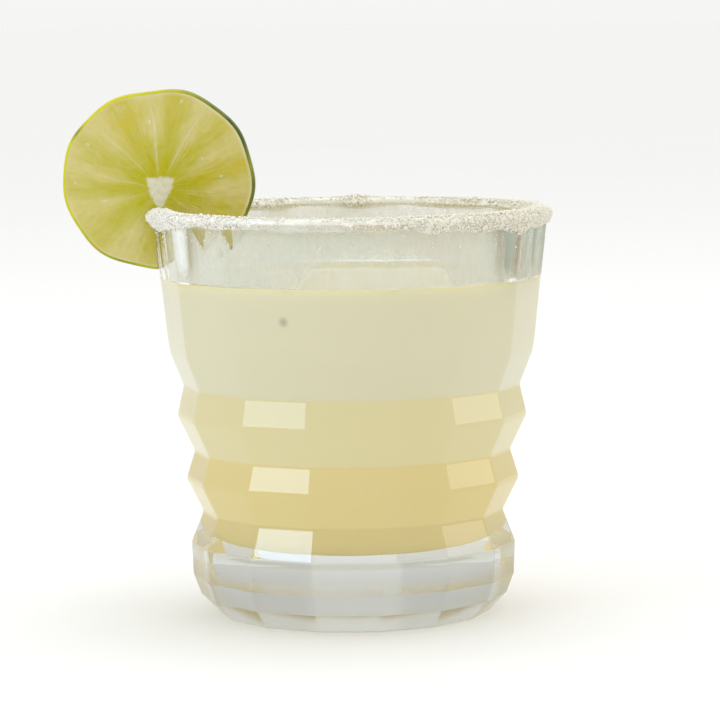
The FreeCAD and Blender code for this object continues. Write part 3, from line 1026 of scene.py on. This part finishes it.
# Painted highlights: pale spots on the wet pulp in the pith colour, each an angle in degrees, a share
# of the way out, and a half length in mm.
PAINTED_HIGHLIGHTS = ((181.0, 0.90, 0.35), (199.0, 0.61, 0.55), (74.0, 0.92, 0.35), (6.0, 0.68, 0.45),
          (97.0, 0.72, 0.4), (150.0, 0.86, 0.35), (32.0, 0.55, 0.4), (322.0, 0.88, 0.4))
WHEEL_WAVES = ((2, 0.13, 68.0), (3, 0.05, 98.0), (4, 0.19, 61.0), (5, 0.08, 58.0),
               (7, 0.10, 20.0), (9, 0.20, 35.0))
CORE_SHIFT = (0.2 * MM, -2.05 * MM)
FRONT_INSET, BACK_INSET = 0.7 * MM, 0.4 * MM
FRONT_DEPTH, BACK_DEPTH = 1.6 * MM, 1.4 * MM


def wheel_outline(angle, inset):
    """Outline of the wheel at angles, in by an inset: an oval with a few low waves."""
    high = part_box("lime_wheel")[1]
    settings = bpy.context.scene.lime
    half_wide = settings.width / 2
    half_high = settings.height / 2
    mean = (half_wide + half_high) / 2

    def share(turn, inward):
        swell = sum(size * MM * np.cos(count * (turn - math.radians(crest)))
                    for count, size, crest in WHEEL_WAVES)
        return (mean + swell - inward) / mean

    rim = np.linspace(0.0, FULL, 721)
    right = (half_wide * share(rim, 0.0) * np.cos(rim)).max()
    top = (half_high * share(rim, 0.0) * np.sin(rim)).max()
    part = share(angle, inset)
    return (high.x - right + half_wide * part * np.cos(angle),
            high.z - top + half_high * part * np.sin(angle))


def wheel_rings():
    """Rings of the wheel: out over the front face, round the peel and in over the back face.

    A face's point is core + t (outline - core), and the peel's rows are the outline itself,
    inset by a quarter circle at each face."""
    settings = bpy.context.scene.lime
    half = settings.thickness / 2
    angle = np.linspace(FULL, 0.0, 481)[:-1]
    rim_x, rim_z = wheel_outline(angle, 0.0)
    core = np.array([rim_x.max() + rim_x.min(), rim_z.max() + rim_z.min()]) / 2 + CORE_SHIFT
    shares = np.concatenate([np.linspace(0.02, 0.94, 62), np.linspace(0.95, 1.0, 8)])

    def face(inset, depth):
        across, upward = wheel_outline(angle, inset)
        x = core[0] + shares[:, None] * (across - core[0])[None, :]
        z = core[1] + shares[:, None] * (upward - core[1])[None, :]
        return np.stack([x, np.full_like(x, depth), z], axis=-1)

    def peel_row(inset, depth, share, side):
        across, upward = wheel_outline(angle, inset * (1 - math.sin(share * math.pi / 2)))
        row_depth = side * (half - depth * (1 - math.cos(share * math.pi / 2)))
        return np.stack([across, np.full_like(across, row_depth), upward], axis=-1)

    turn = np.linspace(0.0, 1.0, 6)[1:]
    peel = [peel_row(FRONT_INSET, FRONT_DEPTH, share, -1) for share in turn]
    peel += [peel_row(BACK_INSET, BACK_DEPTH, share, 1) for share in turn[::-1]]
    rings = np.concatenate([face(FRONT_INSET, -half), np.array(peel),
                            face(BACK_INSET, half)[::-1]])
    share_rows = np.concatenate([shares, np.ones(len(peel)), shares[::-1]])
    side_rows = np.concatenate([-np.ones(len(shares)), np.zeros(len(peel)), np.ones(len(shares))])
    return rings, angle, share_rows, side_rows


def pulp_pattern(angle, share, turn):
    """Clearness, gold, membrane, and pith with painted highlights, at each place of a face, from 0 to
    1.

    Clear pulp is a fan in each segment, exp(-(m / w)^3) with m from nought midway to one at
    the membranes and w narrowing outwards, that falls with the share t out from the core, over
    a ground that falls sooner. turn shifts the pattern, for the other face."""
    around = np.broadcast_to(angle[None, :], (len(share), len(angle)))
    t = np.broadcast_to(share[:, None], around.shape)
    bend = 0.03 * np.sin(5.0 * t + 3.0 * around)
    turned = (around + turn + bend) % FULL
    edges = np.concatenate([SEGMENT_EDGES, [SEGMENT_EDGES[0] + FULL]])
    turned = np.where(turned < edges[0], turned + FULL, turned)
    index = np.clip(np.searchsorted(edges, turned, side="right") - 1, 0, len(SEGMENT_EDGES) - 1)
    start, end = edges[index], edges[index + 1]
    off = np.abs(2.0 * (turned - start) / (end - start) - 1.0)
    fan = np.exp(-(off / (0.78 - 0.24 * t)) ** 3)
    between = 0.85 * np.clip((0.62 - t) / 0.35, 0.0, 1.0)
    along = np.clip(1.1 - 0.8 * t / SEGMENT_REACH[index], 0.0, 1.0)
    clear = between + fan * np.maximum(along - between, 0.0)
    gold = SEGMENT_GOLD[index] * np.clip((t - 0.3) * 2.5, 0.0, 1.0) * (0.25 + 0.75 * fan)
    to_start = turned - start
    to_end = end - turned
    shows = np.where(to_start < to_end, EDGE_SHOWS[index],
                     EDGE_SHOWS[(index + 1) % len(EDGE_SHOWS)])
    distance = np.minimum(to_start, to_end) * t * 21.0
    membrane = shows * np.exp(-(distance / 0.2) ** 2) * np.clip((t - 0.16) * 8.0, 0.0, 1.0)
    membrane *= np.clip((1.0 - t) * 3.0, 0.25, 1.0)
    star = np.full_like(t, 0.122)
    for centre, spread, size in PITH_POINTS:
        star += size * np.exp(-(turned_from(np.degrees(around), centre) / spread) ** 2)
    star += 0.010 * np.sin(9.0 * around + 1.0) * np.cos(4.0 * around)
    pith_and_highlight = np.clip((star - t) / 0.025 + 0.5, 0.0, 1.0)
    # Painted highlights: pale spots added to the pith share.
    for centre, out, half in PAINTED_HIGHLIGHTS:
        across = np.radians(turned_from(np.degrees(around), centre)) * t * 21.0 / 0.22
        outward = (t - out) * 21.0 / half
        pith_and_highlight = np.maximum(pith_and_highlight, np.clip(1.4 - np.hypot(across, outward), 0.0, 1.0))
    return clear, gold, membrane, pith_and_highlight


def both_faces(angle, share, side):
    """The pulp pattern of the front face, and of the back face where side is over nought."""
    back = (side > 0)[:, None]
    pairs = zip(pulp_pattern(angle, share, 0.0), pulp_pattern(angle, share, 0.35))
    return [np.where(back, behind, before) for before, behind in pairs]


def lime_face_material():
    """Wet pulp: clear olive fans, golden patches, pale dry pulp, membranes, pith with painted
    highlights, and streaks.
    """
    settings = bpy.context.scene.lime
    material, shader, _ = new_material(
        "lime_pulp", Roughness=0.35, IOR=1.36, Specular_IOR_Level=0.3, Subsurface_Weight=0.3,
        Subsurface_Radius=(1.0, 1.0, 0.3), Subsurface_Scale=1.2 * MM, Coat_Weight=0.1,
        Coat_Roughness=0.12)
    fine = noise(material, place(material), 1100.0, 3.0, 0.6)
    broad = noise(material, place(material), 280.0, 2.0)
    clear = read(material, "clear")
    for part, middle, amount in ((broad, 0.5, 0.55), (fine, 0.5, 0.35),
                                 (read(material, "streak"), 0.0, 0.2)):
        change = maths(material, "MULTIPLY", maths(material, "SUBTRACT", part, middle), amount)
        clear = maths(material, "ADD", clear, change)
    colour = mix(material, remap(material, clear, 0.0, 1.0), settings.pale, settings.deep)
    gold = maths(material, "MULTIPLY", read(material, "gold"), remap(material, broad, 0.3, 0.6))
    colour = mix(material, gold, colour, settings.gold)
    colour = mix(material, maths(material, "MULTIPLY", read(material, "membrane"), 0.5), colour,
                 settings.pith_and_highlight)
    # The pith share carries the painted highlights too.
    white = maths(material, "MULTIPLY", read(material, "pith_and_highlight"),
                  remap(material, fine, 0.35, 0.6, 0.7, 1.0))
    colour = mix(material, white, colour, settings.pith_and_highlight)
    feed(material, shader.inputs["Base Color"], colour)
    bump(material, shader, fine, 0.4, 0.25 * MM)
    return material


def lime_peel_material():
    """Waxy peel, light to dark green with painted light and shade round the wheel, with oil pits."""
    settings = bpy.context.scene.lime
    material, shader, _ = new_material(
        "lime_peel", Roughness=0.42, Specular_IOR_Level=0.22)
    mottle = noise(material, place(material), 320.0, 3.0)
    # Painted light and shade round the wheel, from the shade attribute, with mottle.
    shade = maths(material, "ADD", read(material, "shade"),
                  maths(material, "MULTIPLY", maths(material, "SUBTRACT", mottle, 0.5), 0.5))
    colour = mix(material, remap(material, shade, 0.0, 1.0), settings.peel_light,
                 settings.peel_dark)
    feed(material, shader.inputs["Base Color"], colour)
    pits = node(material, "ShaderNodeTexVoronoi", {"Vector": place(material), "Scale": 1100.0})
    bump(material, shader, pits.outputs["Distance"], 0.5, 0.2 * MM)
    return material


def slit_cutter():
    """Slanted block for the slot that the wall stands in, along both faces of the wall."""
    thick = bpy.context.scene.lime.thickness
    gap = 0.25 * MM
    top = OUTSIDE[-1][1] + 0.1 * MM
    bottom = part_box("lime_wheel")[0].z - 2 * MM
    corners = []
    for depth in (-thick, thick):
        for height, edge in ((bottom, -1), (bottom, 1), (top, 1), (top, -1)):
            wall = wall_at(OUTSIDE, height) + gap if edge < 0 else wall_at(BORE, height) - gap
            corners.append((-wall, depth, height))
    quads = np.array([[0, 1, 2, 3], [7, 6, 5, 4], [0, 4, 5, 1], [1, 5, 6, 2], [2, 6, 7, 3],
                      [3, 7, 4, 0]])
    return put_mesh("slit_block", np.array(corners), quads)


def cut_with(piece, cutter):
    """Take a cutter out of a piece, and drop the cutter."""
    modifier = piece.modifiers.new("slit", "BOOLEAN")
    modifier.object = cutter
    modifier.operation = "DIFFERENCE"
    modifier.solver = "EXACT"
    shaped = bpy.data.meshes.new_from_object(
        piece.evaluated_get(bpy.context.evaluated_depsgraph_get()), preserve_all_data_layers=True,
        depsgraph=bpy.context.evaluated_depsgraph_get())
    piece.modifiers.clear()
    piece.data = shaped
    bpy.data.objects.remove(cutter)


def pulp_streaks(angle, share, side):
    """Fine radial streaks of the juice sacs, from -1 to 1: noise drawn out along the radius."""
    shape = (len(share), len(angle))
    around = np.broadcast_to(angle[None, :] * 21.0, shape)
    outward = np.broadcast_to((share * 5.0 + side * 40.0)[:, None], shape)
    places = np.stack([around, outward, np.zeros(shape)], axis=-1)
    return 0.6 * soft_noise(places, 0.9, 11) + 0.5 * soft_noise(places * (2.3, 1.6, 1.0), 0.9, 12)


def peel_painted_shade(angle):
    """How dark the peel is round the wheel: the peel's own greens with painted light at the upper left
    and painted shade at the right.
    """
    degrees = np.degrees(angle) % 360.0
    shade = np.zeros_like(degrees)
    for centre, spread, depth in ((35.0, 45.0, 0.95), (350.0, 38.0, 0.8), (245.0, 32.0, 0.5),
                                  (290.0, 25.0, 0.5), (147.0, 6.0, 0.5)):
        shade = np.maximum(shade, depth * np.exp(-(turned_from(degrees, centre) / spread) ** 2))
    return shade


class MARGARITA_OT_lime(bpy.types.Operator):
    """Lime wheel with pulp, membranes, pith and peel, slit to sit on the lip"""

    bl_idname = "margarita.add_lime"
    bl_label = "Lime wheel"

    def execute(self, context):
        settings = context.scene.lime
        rings, angle, share, side = wheel_rings()
        rows, columns = rings.shape[:2]
        clear, gold, membrane, pith_and_highlight = both_faces(angle, share, side)
        streak = pulp_streaks(angle, share, side)
        face = side[:, None] * (share < 0.985)[:, None]
        lump = soft_noise(rings, 1.1 * MM, 5) * 0.7 + streak * 0.4 - membrane * 0.7
        lump *= np.clip(share / 0.2, 0.0, 1.0)[:, None]
        rings[..., 1] += face * (settings.relief * lump - 0.08 * MM * pith_and_highlight)
        wheel = put_mesh("lime_wheel_slice", *shut_lathe(rings))
        ring = np.clip((share - 0.965) / 0.02, 0.0, 1.0)[:, None] * (0.32 + 0.2 * np.cos(angle))
        layers = {
            "clear": clear, "gold": gold, "membrane": membrane, "streak": streak,
            # Pith share with the painted highlights, and the line under the peel.
            "pith_and_highlight": np.maximum(pith_and_highlight, ring),
            # shade: painted light and shade of the peel round the wheel.
            "shade": np.broadcast_to(peel_painted_shade(angle), (rows, columns)),
        }
        for name, values in layers.items():
            flat = np.asarray(values).reshape(-1)
            add_attribute(wheel, name, np.concatenate([flat, [flat[0], flat[-1]]]))
        wheel.data.materials.append(lime_face_material())
        wheel.data.materials.append(lime_peel_material())
        row_of_face = np.arange((rows - 1) * columns) // columns
        peel = (share[row_of_face] >= 0.999) & (share[row_of_face + 1] >= 0.999)
        index = np.zeros(len(wheel.data.polygons), dtype=np.int32)
        index[:len(peel)] = peel
        wheel.data.polygons.foreach_set("material_index", index)
        wheel.data.polygons.foreach_set("use_smooth", np.ones(len(index), dtype=bool))
        cut_with(wheel, slit_cutter())
        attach(wheel, BODY)
        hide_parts("lime_wheel")
        return {"FINISHED"}


# ------------------------------------------------------------------ salt
# The thin layer's thickness and rise, and its heaps: angle from +X, half spread in degrees, and
# what each adds to the thickness and to the rise, in millimetres.
SALT_LEAST, SALT_RISE_LEAST = 0.40, 0.35
SALT_HEAPS = (
    (191.0, 19.0, 1.90, 0.50), (228.0, 10.0, 0.35, 0.20), (300.0, 22.0, 0.40, 0.15),
    (340.0, 30.0, 1.05, 0.35), (20.0, 18.0, 0.55, 0.30), (52.0, 11.0, 0.35, 0.25),
    (88.0, 5.0, 0.60, 1.10), (122.0, 16.0, 0.45, 0.25), (158.0, 14.0, 0.75, 0.35),
)


def salt_build(angle):
    """Thickness and rise of the crust in metres at angles: a thin layer and its heaps.

    The loose crystals settle, so the crust rises less than the solid that stands for it."""
    degrees = np.degrees(angle)
    thick = np.full_like(degrees, SALT_LEAST)
    rise = np.full_like(degrees, SALT_RISE_LEAST)
    for centre, spread, outward, upward in SALT_HEAPS:
        heap = np.exp(-(turned_from(degrees, centre) / spread) ** 2)
        thick += outward * heap
        rise += upward * heap
    thick += 0.10 * np.sin(23 * angle) * np.cos(9 * angle + 1)
    return thick * MM, 0.5 * rise * MM


def salt_reach(angle, thickness):
    """How far down the wall the crust hangs, in metres, in uneven tongues, most at one side."""
    tongues = 1 + 0.5 * np.sin(17 * angle + 2) * np.cos(5 * angle)
    away = turned_from(np.degrees(angle), 322.0) / 38.0
    return (1.7 + 0.9 * np.exp(-away ** 2)) * MM + 2.3 * thickness * tongues * 0.5


def over_lip(angle, along, lift):
    """Places on the lip: along runs from 0, down the outside, to 1, down the bore.

    The outer third follows the wall, the middle third the crown's half ellipse and the inner
    third the bore, where the crust hangs less far down, and each place is moved out along its
    normal by lift."""
    settings = bpy.context.scene.tumbler
    crown = settings.lip_round
    spring = OUTSIDE[-1][1] - crown
    thick, _ = salt_build(angle)
    down = salt_reach(angle, thick)
    down_in = 0.7 * salt_reach(angle + 0.45, 0.75 * thick)
    outer_part = np.clip(1.0 - along * 3.0, 0.0, 1.0)
    inner_part = np.clip(along * 3.0 - 2.0, 0.0, 1.0)
    turn = np.clip(along * 3.0 - 1.0, 0.0, 1.0) * math.pi
    height = np.where(along < 0.5, spring - outer_part * np.maximum(down - crown, 0.1 * MM),
                      spring - inner_part * np.maximum(down_in - crown, 0.1 * MM))
    outer = wall_at(OUTSIDE, height) * facet_share(angle)
    inner = wall_at(BORE, height)
    radius = inner + (outer - inner) * (1.0 + np.cos(turn)) / 2.0 + lift * np.cos(turn)
    height = height + crown * np.sin(turn) + lift * np.sin(turn)
    return np.stack([radius * np.cos(angle), radius * np.sin(angle), height], axis=-1)


def crust_height(angle, along):
    """Height of the crust above the glass: its thickness on the walls and its rise on top."""
    thick, rise = salt_build(angle)
    side = thick * np.sqrt(np.clip(np.sin(math.pi * along), 0.0, 1.0))
    side *= 1.0 - 0.25 * np.clip(along * 2.0 - 0.6, 0.0, 1.0)
    top = np.exp(-((along - 0.5) / 0.13) ** 2)
    return side * (1.0 - top) + rise * top


def wheel_gap_angle():
    """Half the angle that the lime wheel takes out of the crust."""
    clear = bpy.context.scene.lime.thickness / 2 + 0.5 * MM
    return math.asin(clear / BORE[-1][0])


def salt_core_mesh():
    """Caked salt under the loose grains: a strip round the lip that sinks away where thin."""
    half_gap = wheel_gap_angle()
    angle = np.linspace(math.pi + half_gap, 3 * math.pi - half_gap, 1500)
    along = np.linspace(1.0, 0.0, 29)
    turn, share = np.meshgrid(angle, along, indexing="ij")
    lift = 1.15 * crust_height(turn, share) - 0.50 * MM
    shape = over_lip(turn, share, lift)
    rough = soft_noise(shape, 1.1 * MM, 21) * 0.16 + soft_noise(shape, 0.35 * MM, 22) * 0.12
    lift = lift + rough * MM
    cap = crust_height(turn, share) * 0.92
    outer = over_lip(turn, share, np.clip(lift, -0.04 * MM, cap))
    under = over_lip(turn[:, 1:-1], share[:, 1:-1], np.full_like(turn[:, 1:-1], -0.14 * MM))
    return shut_lathe(np.concatenate([outer, under[:, ::-1]], axis=1))


def salt_material():
    """Coarse salt: bright beside the lime and creamier away from it, and uneven in tone."""
    settings = bpy.context.scene.salt
    material, shader, _ = new_material(
        "coarse_salt", Roughness=0.35, IOR=1.5)
    tone = noise(material, place(material), 500.0, 3.0)
    colour = mix(material, remap(material, tone, 0.3, 0.7), settings.shade,
                 settings.colour)
    spot = node(material, "ShaderNodeTexCoord").outputs["Object"]
    across = node(material, "ShaderNodeSeparateXYZ", {"Vector": spot}).outputs["X"]
    colour = mix(material, remap(material, across, -22 * MM, 30 * MM), colour, settings.damp)
    feed(material, shader.inputs["Base Color"], colour)
    bump(material, shader, noise(material, place(material), 4200.0, 2.0), 0.35, 0.1 * MM)
    return material


def turned_boxes(places, halves, turns, taper):
    """Corners and faces of one crystal at each place, turned by quaternions.

    A corner is the place plus the turned product of the halves, of plus or minus one along
    each edge and of the corner's own taper."""
    corners = np.array(list(np.ndindex(2, 2, 2))) * 2.0 - 1.0
    w, x, y, z = (turns / np.linalg.norm(turns, axis=1, keepdims=True)).T
    rotation = np.stack([
        1 - 2 * (y * y + z * z), 2 * (x * y - z * w), 2 * (x * z + y * w),
        2 * (x * y + z * w), 1 - 2 * (x * x + z * z), 2 * (y * z - x * w),
        2 * (x * z - y * w), 2 * (y * z + x * w), 1 - 2 * (x * x + y * y),
    ], axis=-1).reshape(-1, 3, 3)
    local = corners[None] * halves[:, None, :] * taper[:, :, None]
    points = places[:, None, :] + np.einsum("nij,nkj->nki", rotation, local)
    faces = np.array([[0, 1, 3, 2], [4, 6, 7, 5], [0, 4, 5, 1], [2, 3, 7, 6], [0, 2, 6, 4],
                      [1, 5, 7, 3]])
    quads = (np.arange(len(places))[:, None, None] * 8 + faces[None]).reshape(-1, 4)
    return points.reshape(-1, 3), quads


def salt_grain_mesh():
    """Loose crystals on the crust, thicker where it is heaped, with a few strays below."""
    settings = bpy.context.scene.salt
    rng = np.random.default_rng(7)
    half_gap = wheel_gap_angle() + 0.3 * MM / BORE[-1][0]
    wanted = settings.grains
    trial = rng.uniform(math.pi + half_gap, 3 * math.pi - half_gap, wanted * 8)
    thick, _ = salt_build(trial)
    share = np.clip((thick - 0.28 * MM) / (1.6 * MM), 0.05, 1.0)
    angle = trial[rng.random(len(trial)) < share][:wanted]
    count = len(angle)
    along = rng.beta(1.15, 1.25, count)
    thick, _ = salt_build(angle)
    thin = thick < 0.62 * MM
    on_crown = np.clip(rng.normal(0.47, 0.06, count), 0.0, 1.0)
    along = np.where(thin & (rng.random(count) < 0.55), on_crown, along)
    size = settings.grain_size * np.exp(rng.normal(0.0, 0.35, count)) * np.where(thin, 0.75, 1.0)
    size = np.minimum(size, 0.36 * MM)
    lift = crust_height(angle, along) * rng.uniform(0.7, 1.0, count)
    places = over_lip(angle, along, np.maximum(lift, 0.6 * size))
    stray = rng.random(count) < 0.02
    fallen = rng.uniform(0.5 * MM, 4.5 * MM, count)
    outer = wall_at(OUTSIDE, places[:, 2] - fallen) * facet_share(angle) + 0.4 * size
    down = np.stack([outer * np.cos(angle), outer * np.sin(angle), places[:, 2] - fallen], axis=-1)
    places = np.where((stray & (along < 0.33))[:, None], down, places)
    halves = size[:, None] * rng.uniform(0.65, 1.25, (count, 3))
    return turned_boxes(places, halves, rng.normal(size=(count, 4)),
                        rng.uniform(0.7, 1.1, (count, 8)))


class MARGARITA_OT_salt(bpy.types.Operator):
    """Salt crust over the lip: a rough core and its loose crystals"""

    bl_idname = "margarita.add_salt"
    bl_label = "Salt"

    def execute(self, context):
        material = salt_material()
        core = put_mesh("salt_crust", *salt_core_mesh())
        core.data.polygons.foreach_set("use_smooth", np.ones(len(core.data.polygons), dtype=bool))
        grains = put_mesh("salt_grains", *salt_grain_mesh())
        for piece in (core, grains):
            piece.data.materials.append(material)
            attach(piece, BODY)
            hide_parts("salt_rim")
        return {"FINISHED"}


# ------------------------------------------------------------------ stage
DAYLIGHT, WARM_WHITE, WHITE = (0.56, 0.76, 1.0), (1.0, 0.96, 0.96), (1.0, 1.0, 1.0)
# Name, angle from -Y towards +X, angle up, both in degrees, size in metres, radiance and colour.
WINDOWS = (
    ("left_pane_low", -54.5, 15.0, (0.20, 0.15), 4.0, DAYLIGHT),
    ("left_pane_middle", -54.5, 22.1, (0.20, 0.15), 6.0, DAYLIGHT),
    ("left_pane_high", -54.5, 29.3, (0.20, 0.15), 8.6, DAYLIGHT),
    ("right_window", 93.7, 15.0, (0.20, 0.38), 1.7, WARM_WHITE),
    ("top_softbox", 150.0, 80.0, (0.9, 0.9), 1.2, WHITE),
)


def window(name, turn, rise, size, radiance, colour):
    """Soft box 1.2 m away, turned to the tumbler: its power is radiance times pi times its area.

    turn is the angle from -Y towards +X and rise the angle up, in degrees."""
    away = 1.2
    turn, rise = math.radians(turn), math.radians(rise)
    lamp = bpy.data.lights.new(name, "AREA")
    lamp.shape = "RECTANGLE"
    lamp.size, lamp.size_y = size
    lamp.color = colour
    lamp.energy = radiance * math.pi * size[0] * size[1]
    holder = bpy.data.objects.new(name, lamp)
    bpy.context.scene.collection.objects.link(holder)
    outward = Vector((math.cos(rise) * math.sin(turn), -math.cos(rise) * math.cos(turn),
                      math.sin(rise)))
    middle = Vector((0.0, 0.0, OUTSIDE[-1][1] / 2))
    aim = outward.to_track_quat("Z", "Y").to_matrix().to_4x4()
    holder.matrix_world = Matrix.Translation(middle + outward * away) @ aim


def even_room():
    """World that is a little darker low down in front and at both sides.

    Its light is s (1 - l max(d f, e b)), with l one low down, f one in front, b one at both
    sides, and s, d and e the stage's own numbers. It meets the floor's tone at the
    horizon."""
    settings = bpy.context.scene.stage
    world = bpy.data.worlds.new("even_room")
    world.use_nodes = True
    direction = node(world, "ShaderNodeTexCoord").outputs["Object"]
    split = node(world, "ShaderNodeSeparateXYZ", {"Vector": direction})
    across, depth, upward = (split.outputs[axis] for axis in "XYZ")
    low = remap(world, upward, 0.65, 0.25)
    front = remap(world, depth, -0.35, -0.8, 0.0, settings.dim_front)
    beside = remap(world, maths(world, "ABSOLUTE", across), 0.16, 0.32, 0.0, settings.dim_sides)
    back = maths(world, "MULTIPLY", beside, remap(world, depth, -0.4, 0.3))
    dim = maths(world, "MULTIPLY", low, maths(world, "MAXIMUM", front, back))
    light = maths(world, "MULTIPLY", maths(world, "SUBTRACT", 1.0, dim), settings.sky)
    horizon = remap(world, upward, 0.0, 0.1, 0.88, 1.0)
    background = world.node_tree.nodes["Background"]
    background.inputs["Color"].default_value = (1.0, 1.0, 0.99, 1.0)
    feed(world, background.inputs["Strength"], maths(world, "MULTIPLY", light, horizon))
    return world


class MARGARITA_OT_stage(bpy.types.Operator):
    """Pale floor, even room light, soft windows and a soft box above, and the camera"""

    bl_idname = "margarita.add_stage"
    bl_label = "Stage"

    def execute(self, context):
        settings = context.scene.stage
        scene = context.scene
        reach = 40.0
        under = -0.1 * MM
        corners = np.array([[-reach, -reach, under], [reach, -reach, under],
                            [reach, reach, under], [-reach, reach, under]])
        floor = put_mesh("pale_floor", corners, np.array([[0, 1, 2, 3]]))
        material, shader, _ = new_material("pale_floor", Roughness=0.8, Specular_IOR_Level=0.1)
        tone = noise(material, place(material), 3.0)
        feed(material, shader.inputs["Base Color"],
             mix(material, tone, (0.88, 0.88, 0.875), (0.90, 0.90, 0.895)))
        floor.data.materials.append(material)
        scene.world = even_room()
        for soft_box in WINDOWS:
            window(*soft_box)
        camera = bpy.data.cameras.new("camera")
        camera.lens = settings.lens
        camera.clip_start = 0.05
        holder = bpy.data.objects.new("camera", camera)
        scene.collection.objects.link(holder)
        holder.matrix_world = (
            Matrix.Translation((settings.side_step, -settings.distance, settings.height))
            @ Matrix.Rotation(math.pi / 2 - settings.tilt, 4, "X")
            @ Matrix.Rotation(settings.roll, 4, "Z"))
        scene.camera = holder
        scene.view_settings.view_transform = "Standard"
        scene.cycles.max_bounces = 40
        scene.cycles.diffuse_bounces = 16
        scene.cycles.glossy_bounces = 32
        scene.cycles.transmission_bounces = 32
        scene.cycles.transparent_max_bounces = 24
        return {"FINISHED"}


class MARGARITA_PT_pieces(bpy.types.Panel):
    """Sidebar list of the drink's pieces"""

    bl_label = "Margarita"
    bl_idname = "MARGARITA_PT_pieces"
    bl_space_type = "VIEW_3D"
    bl_region_type = "UI"
    bl_category = "Margarita"

    def draw(self, context):
        for operator in OPERATORS:
            self.layout.operator(operator.bl_idname)
        for group in SETTINGS:
            owner = getattr(context.scene, group)
            for name in owner.bl_rna.properties.keys():
                if name not in ("rna_type", "name"):
                    self.layout.prop(owner, name)


SETTINGS = {
    "tumbler": TumblerSettings,
    "drink": DrinkSettings,
    "lime": LimeSettings,
    "salt": SaltSettings,
    "stage": StageSettings,
}
OPERATORS = (
    MARGARITA_OT_glass,
    MARGARITA_OT_drink,
    MARGARITA_OT_haze,
    MARGARITA_OT_wet,
    MARGARITA_OT_lime,
    MARGARITA_OT_salt,
    MARGARITA_OT_stage,
)


def register():
    """Register every class, and hang the settings on the scene."""
    for group, kind in SETTINGS.items():
        bpy.utils.register_class(kind)
        setattr(bpy.types.Scene, group, bpy.props.PointerProperty(type=kind))
    for kind in OPERATORS + (MARGARITA_PT_pieces,):
        bpy.utils.register_class(kind)


def unregister():
    """Undo register."""
    for kind in (MARGARITA_PT_pieces,) + OPERATORS[::-1]:
        bpy.utils.unregister_class(kind)
    for group, kind in SETTINGS.items():
        delattr(bpy.types.Scene, group)
        bpy.utils.unregister_class(kind)


def main():
    """Register, read the tumbler's outside and bore, and run the operators in order."""
    global OUTSIDE, BORE
    register()
    OUTSIDE, BORE = tumbler_levels()
    bpy.ops.margarita.add_glass()
    bpy.ops.margarita.add_drink()
    bpy.ops.margarita.add_haze()
    bpy.ops.margarita.add_wet()
    bpy.ops.margarita.add_lime()
    bpy.ops.margarita.add_salt()
    bpy.ops.margarita.add_stage()


if __name__ == "__main__":
    main()
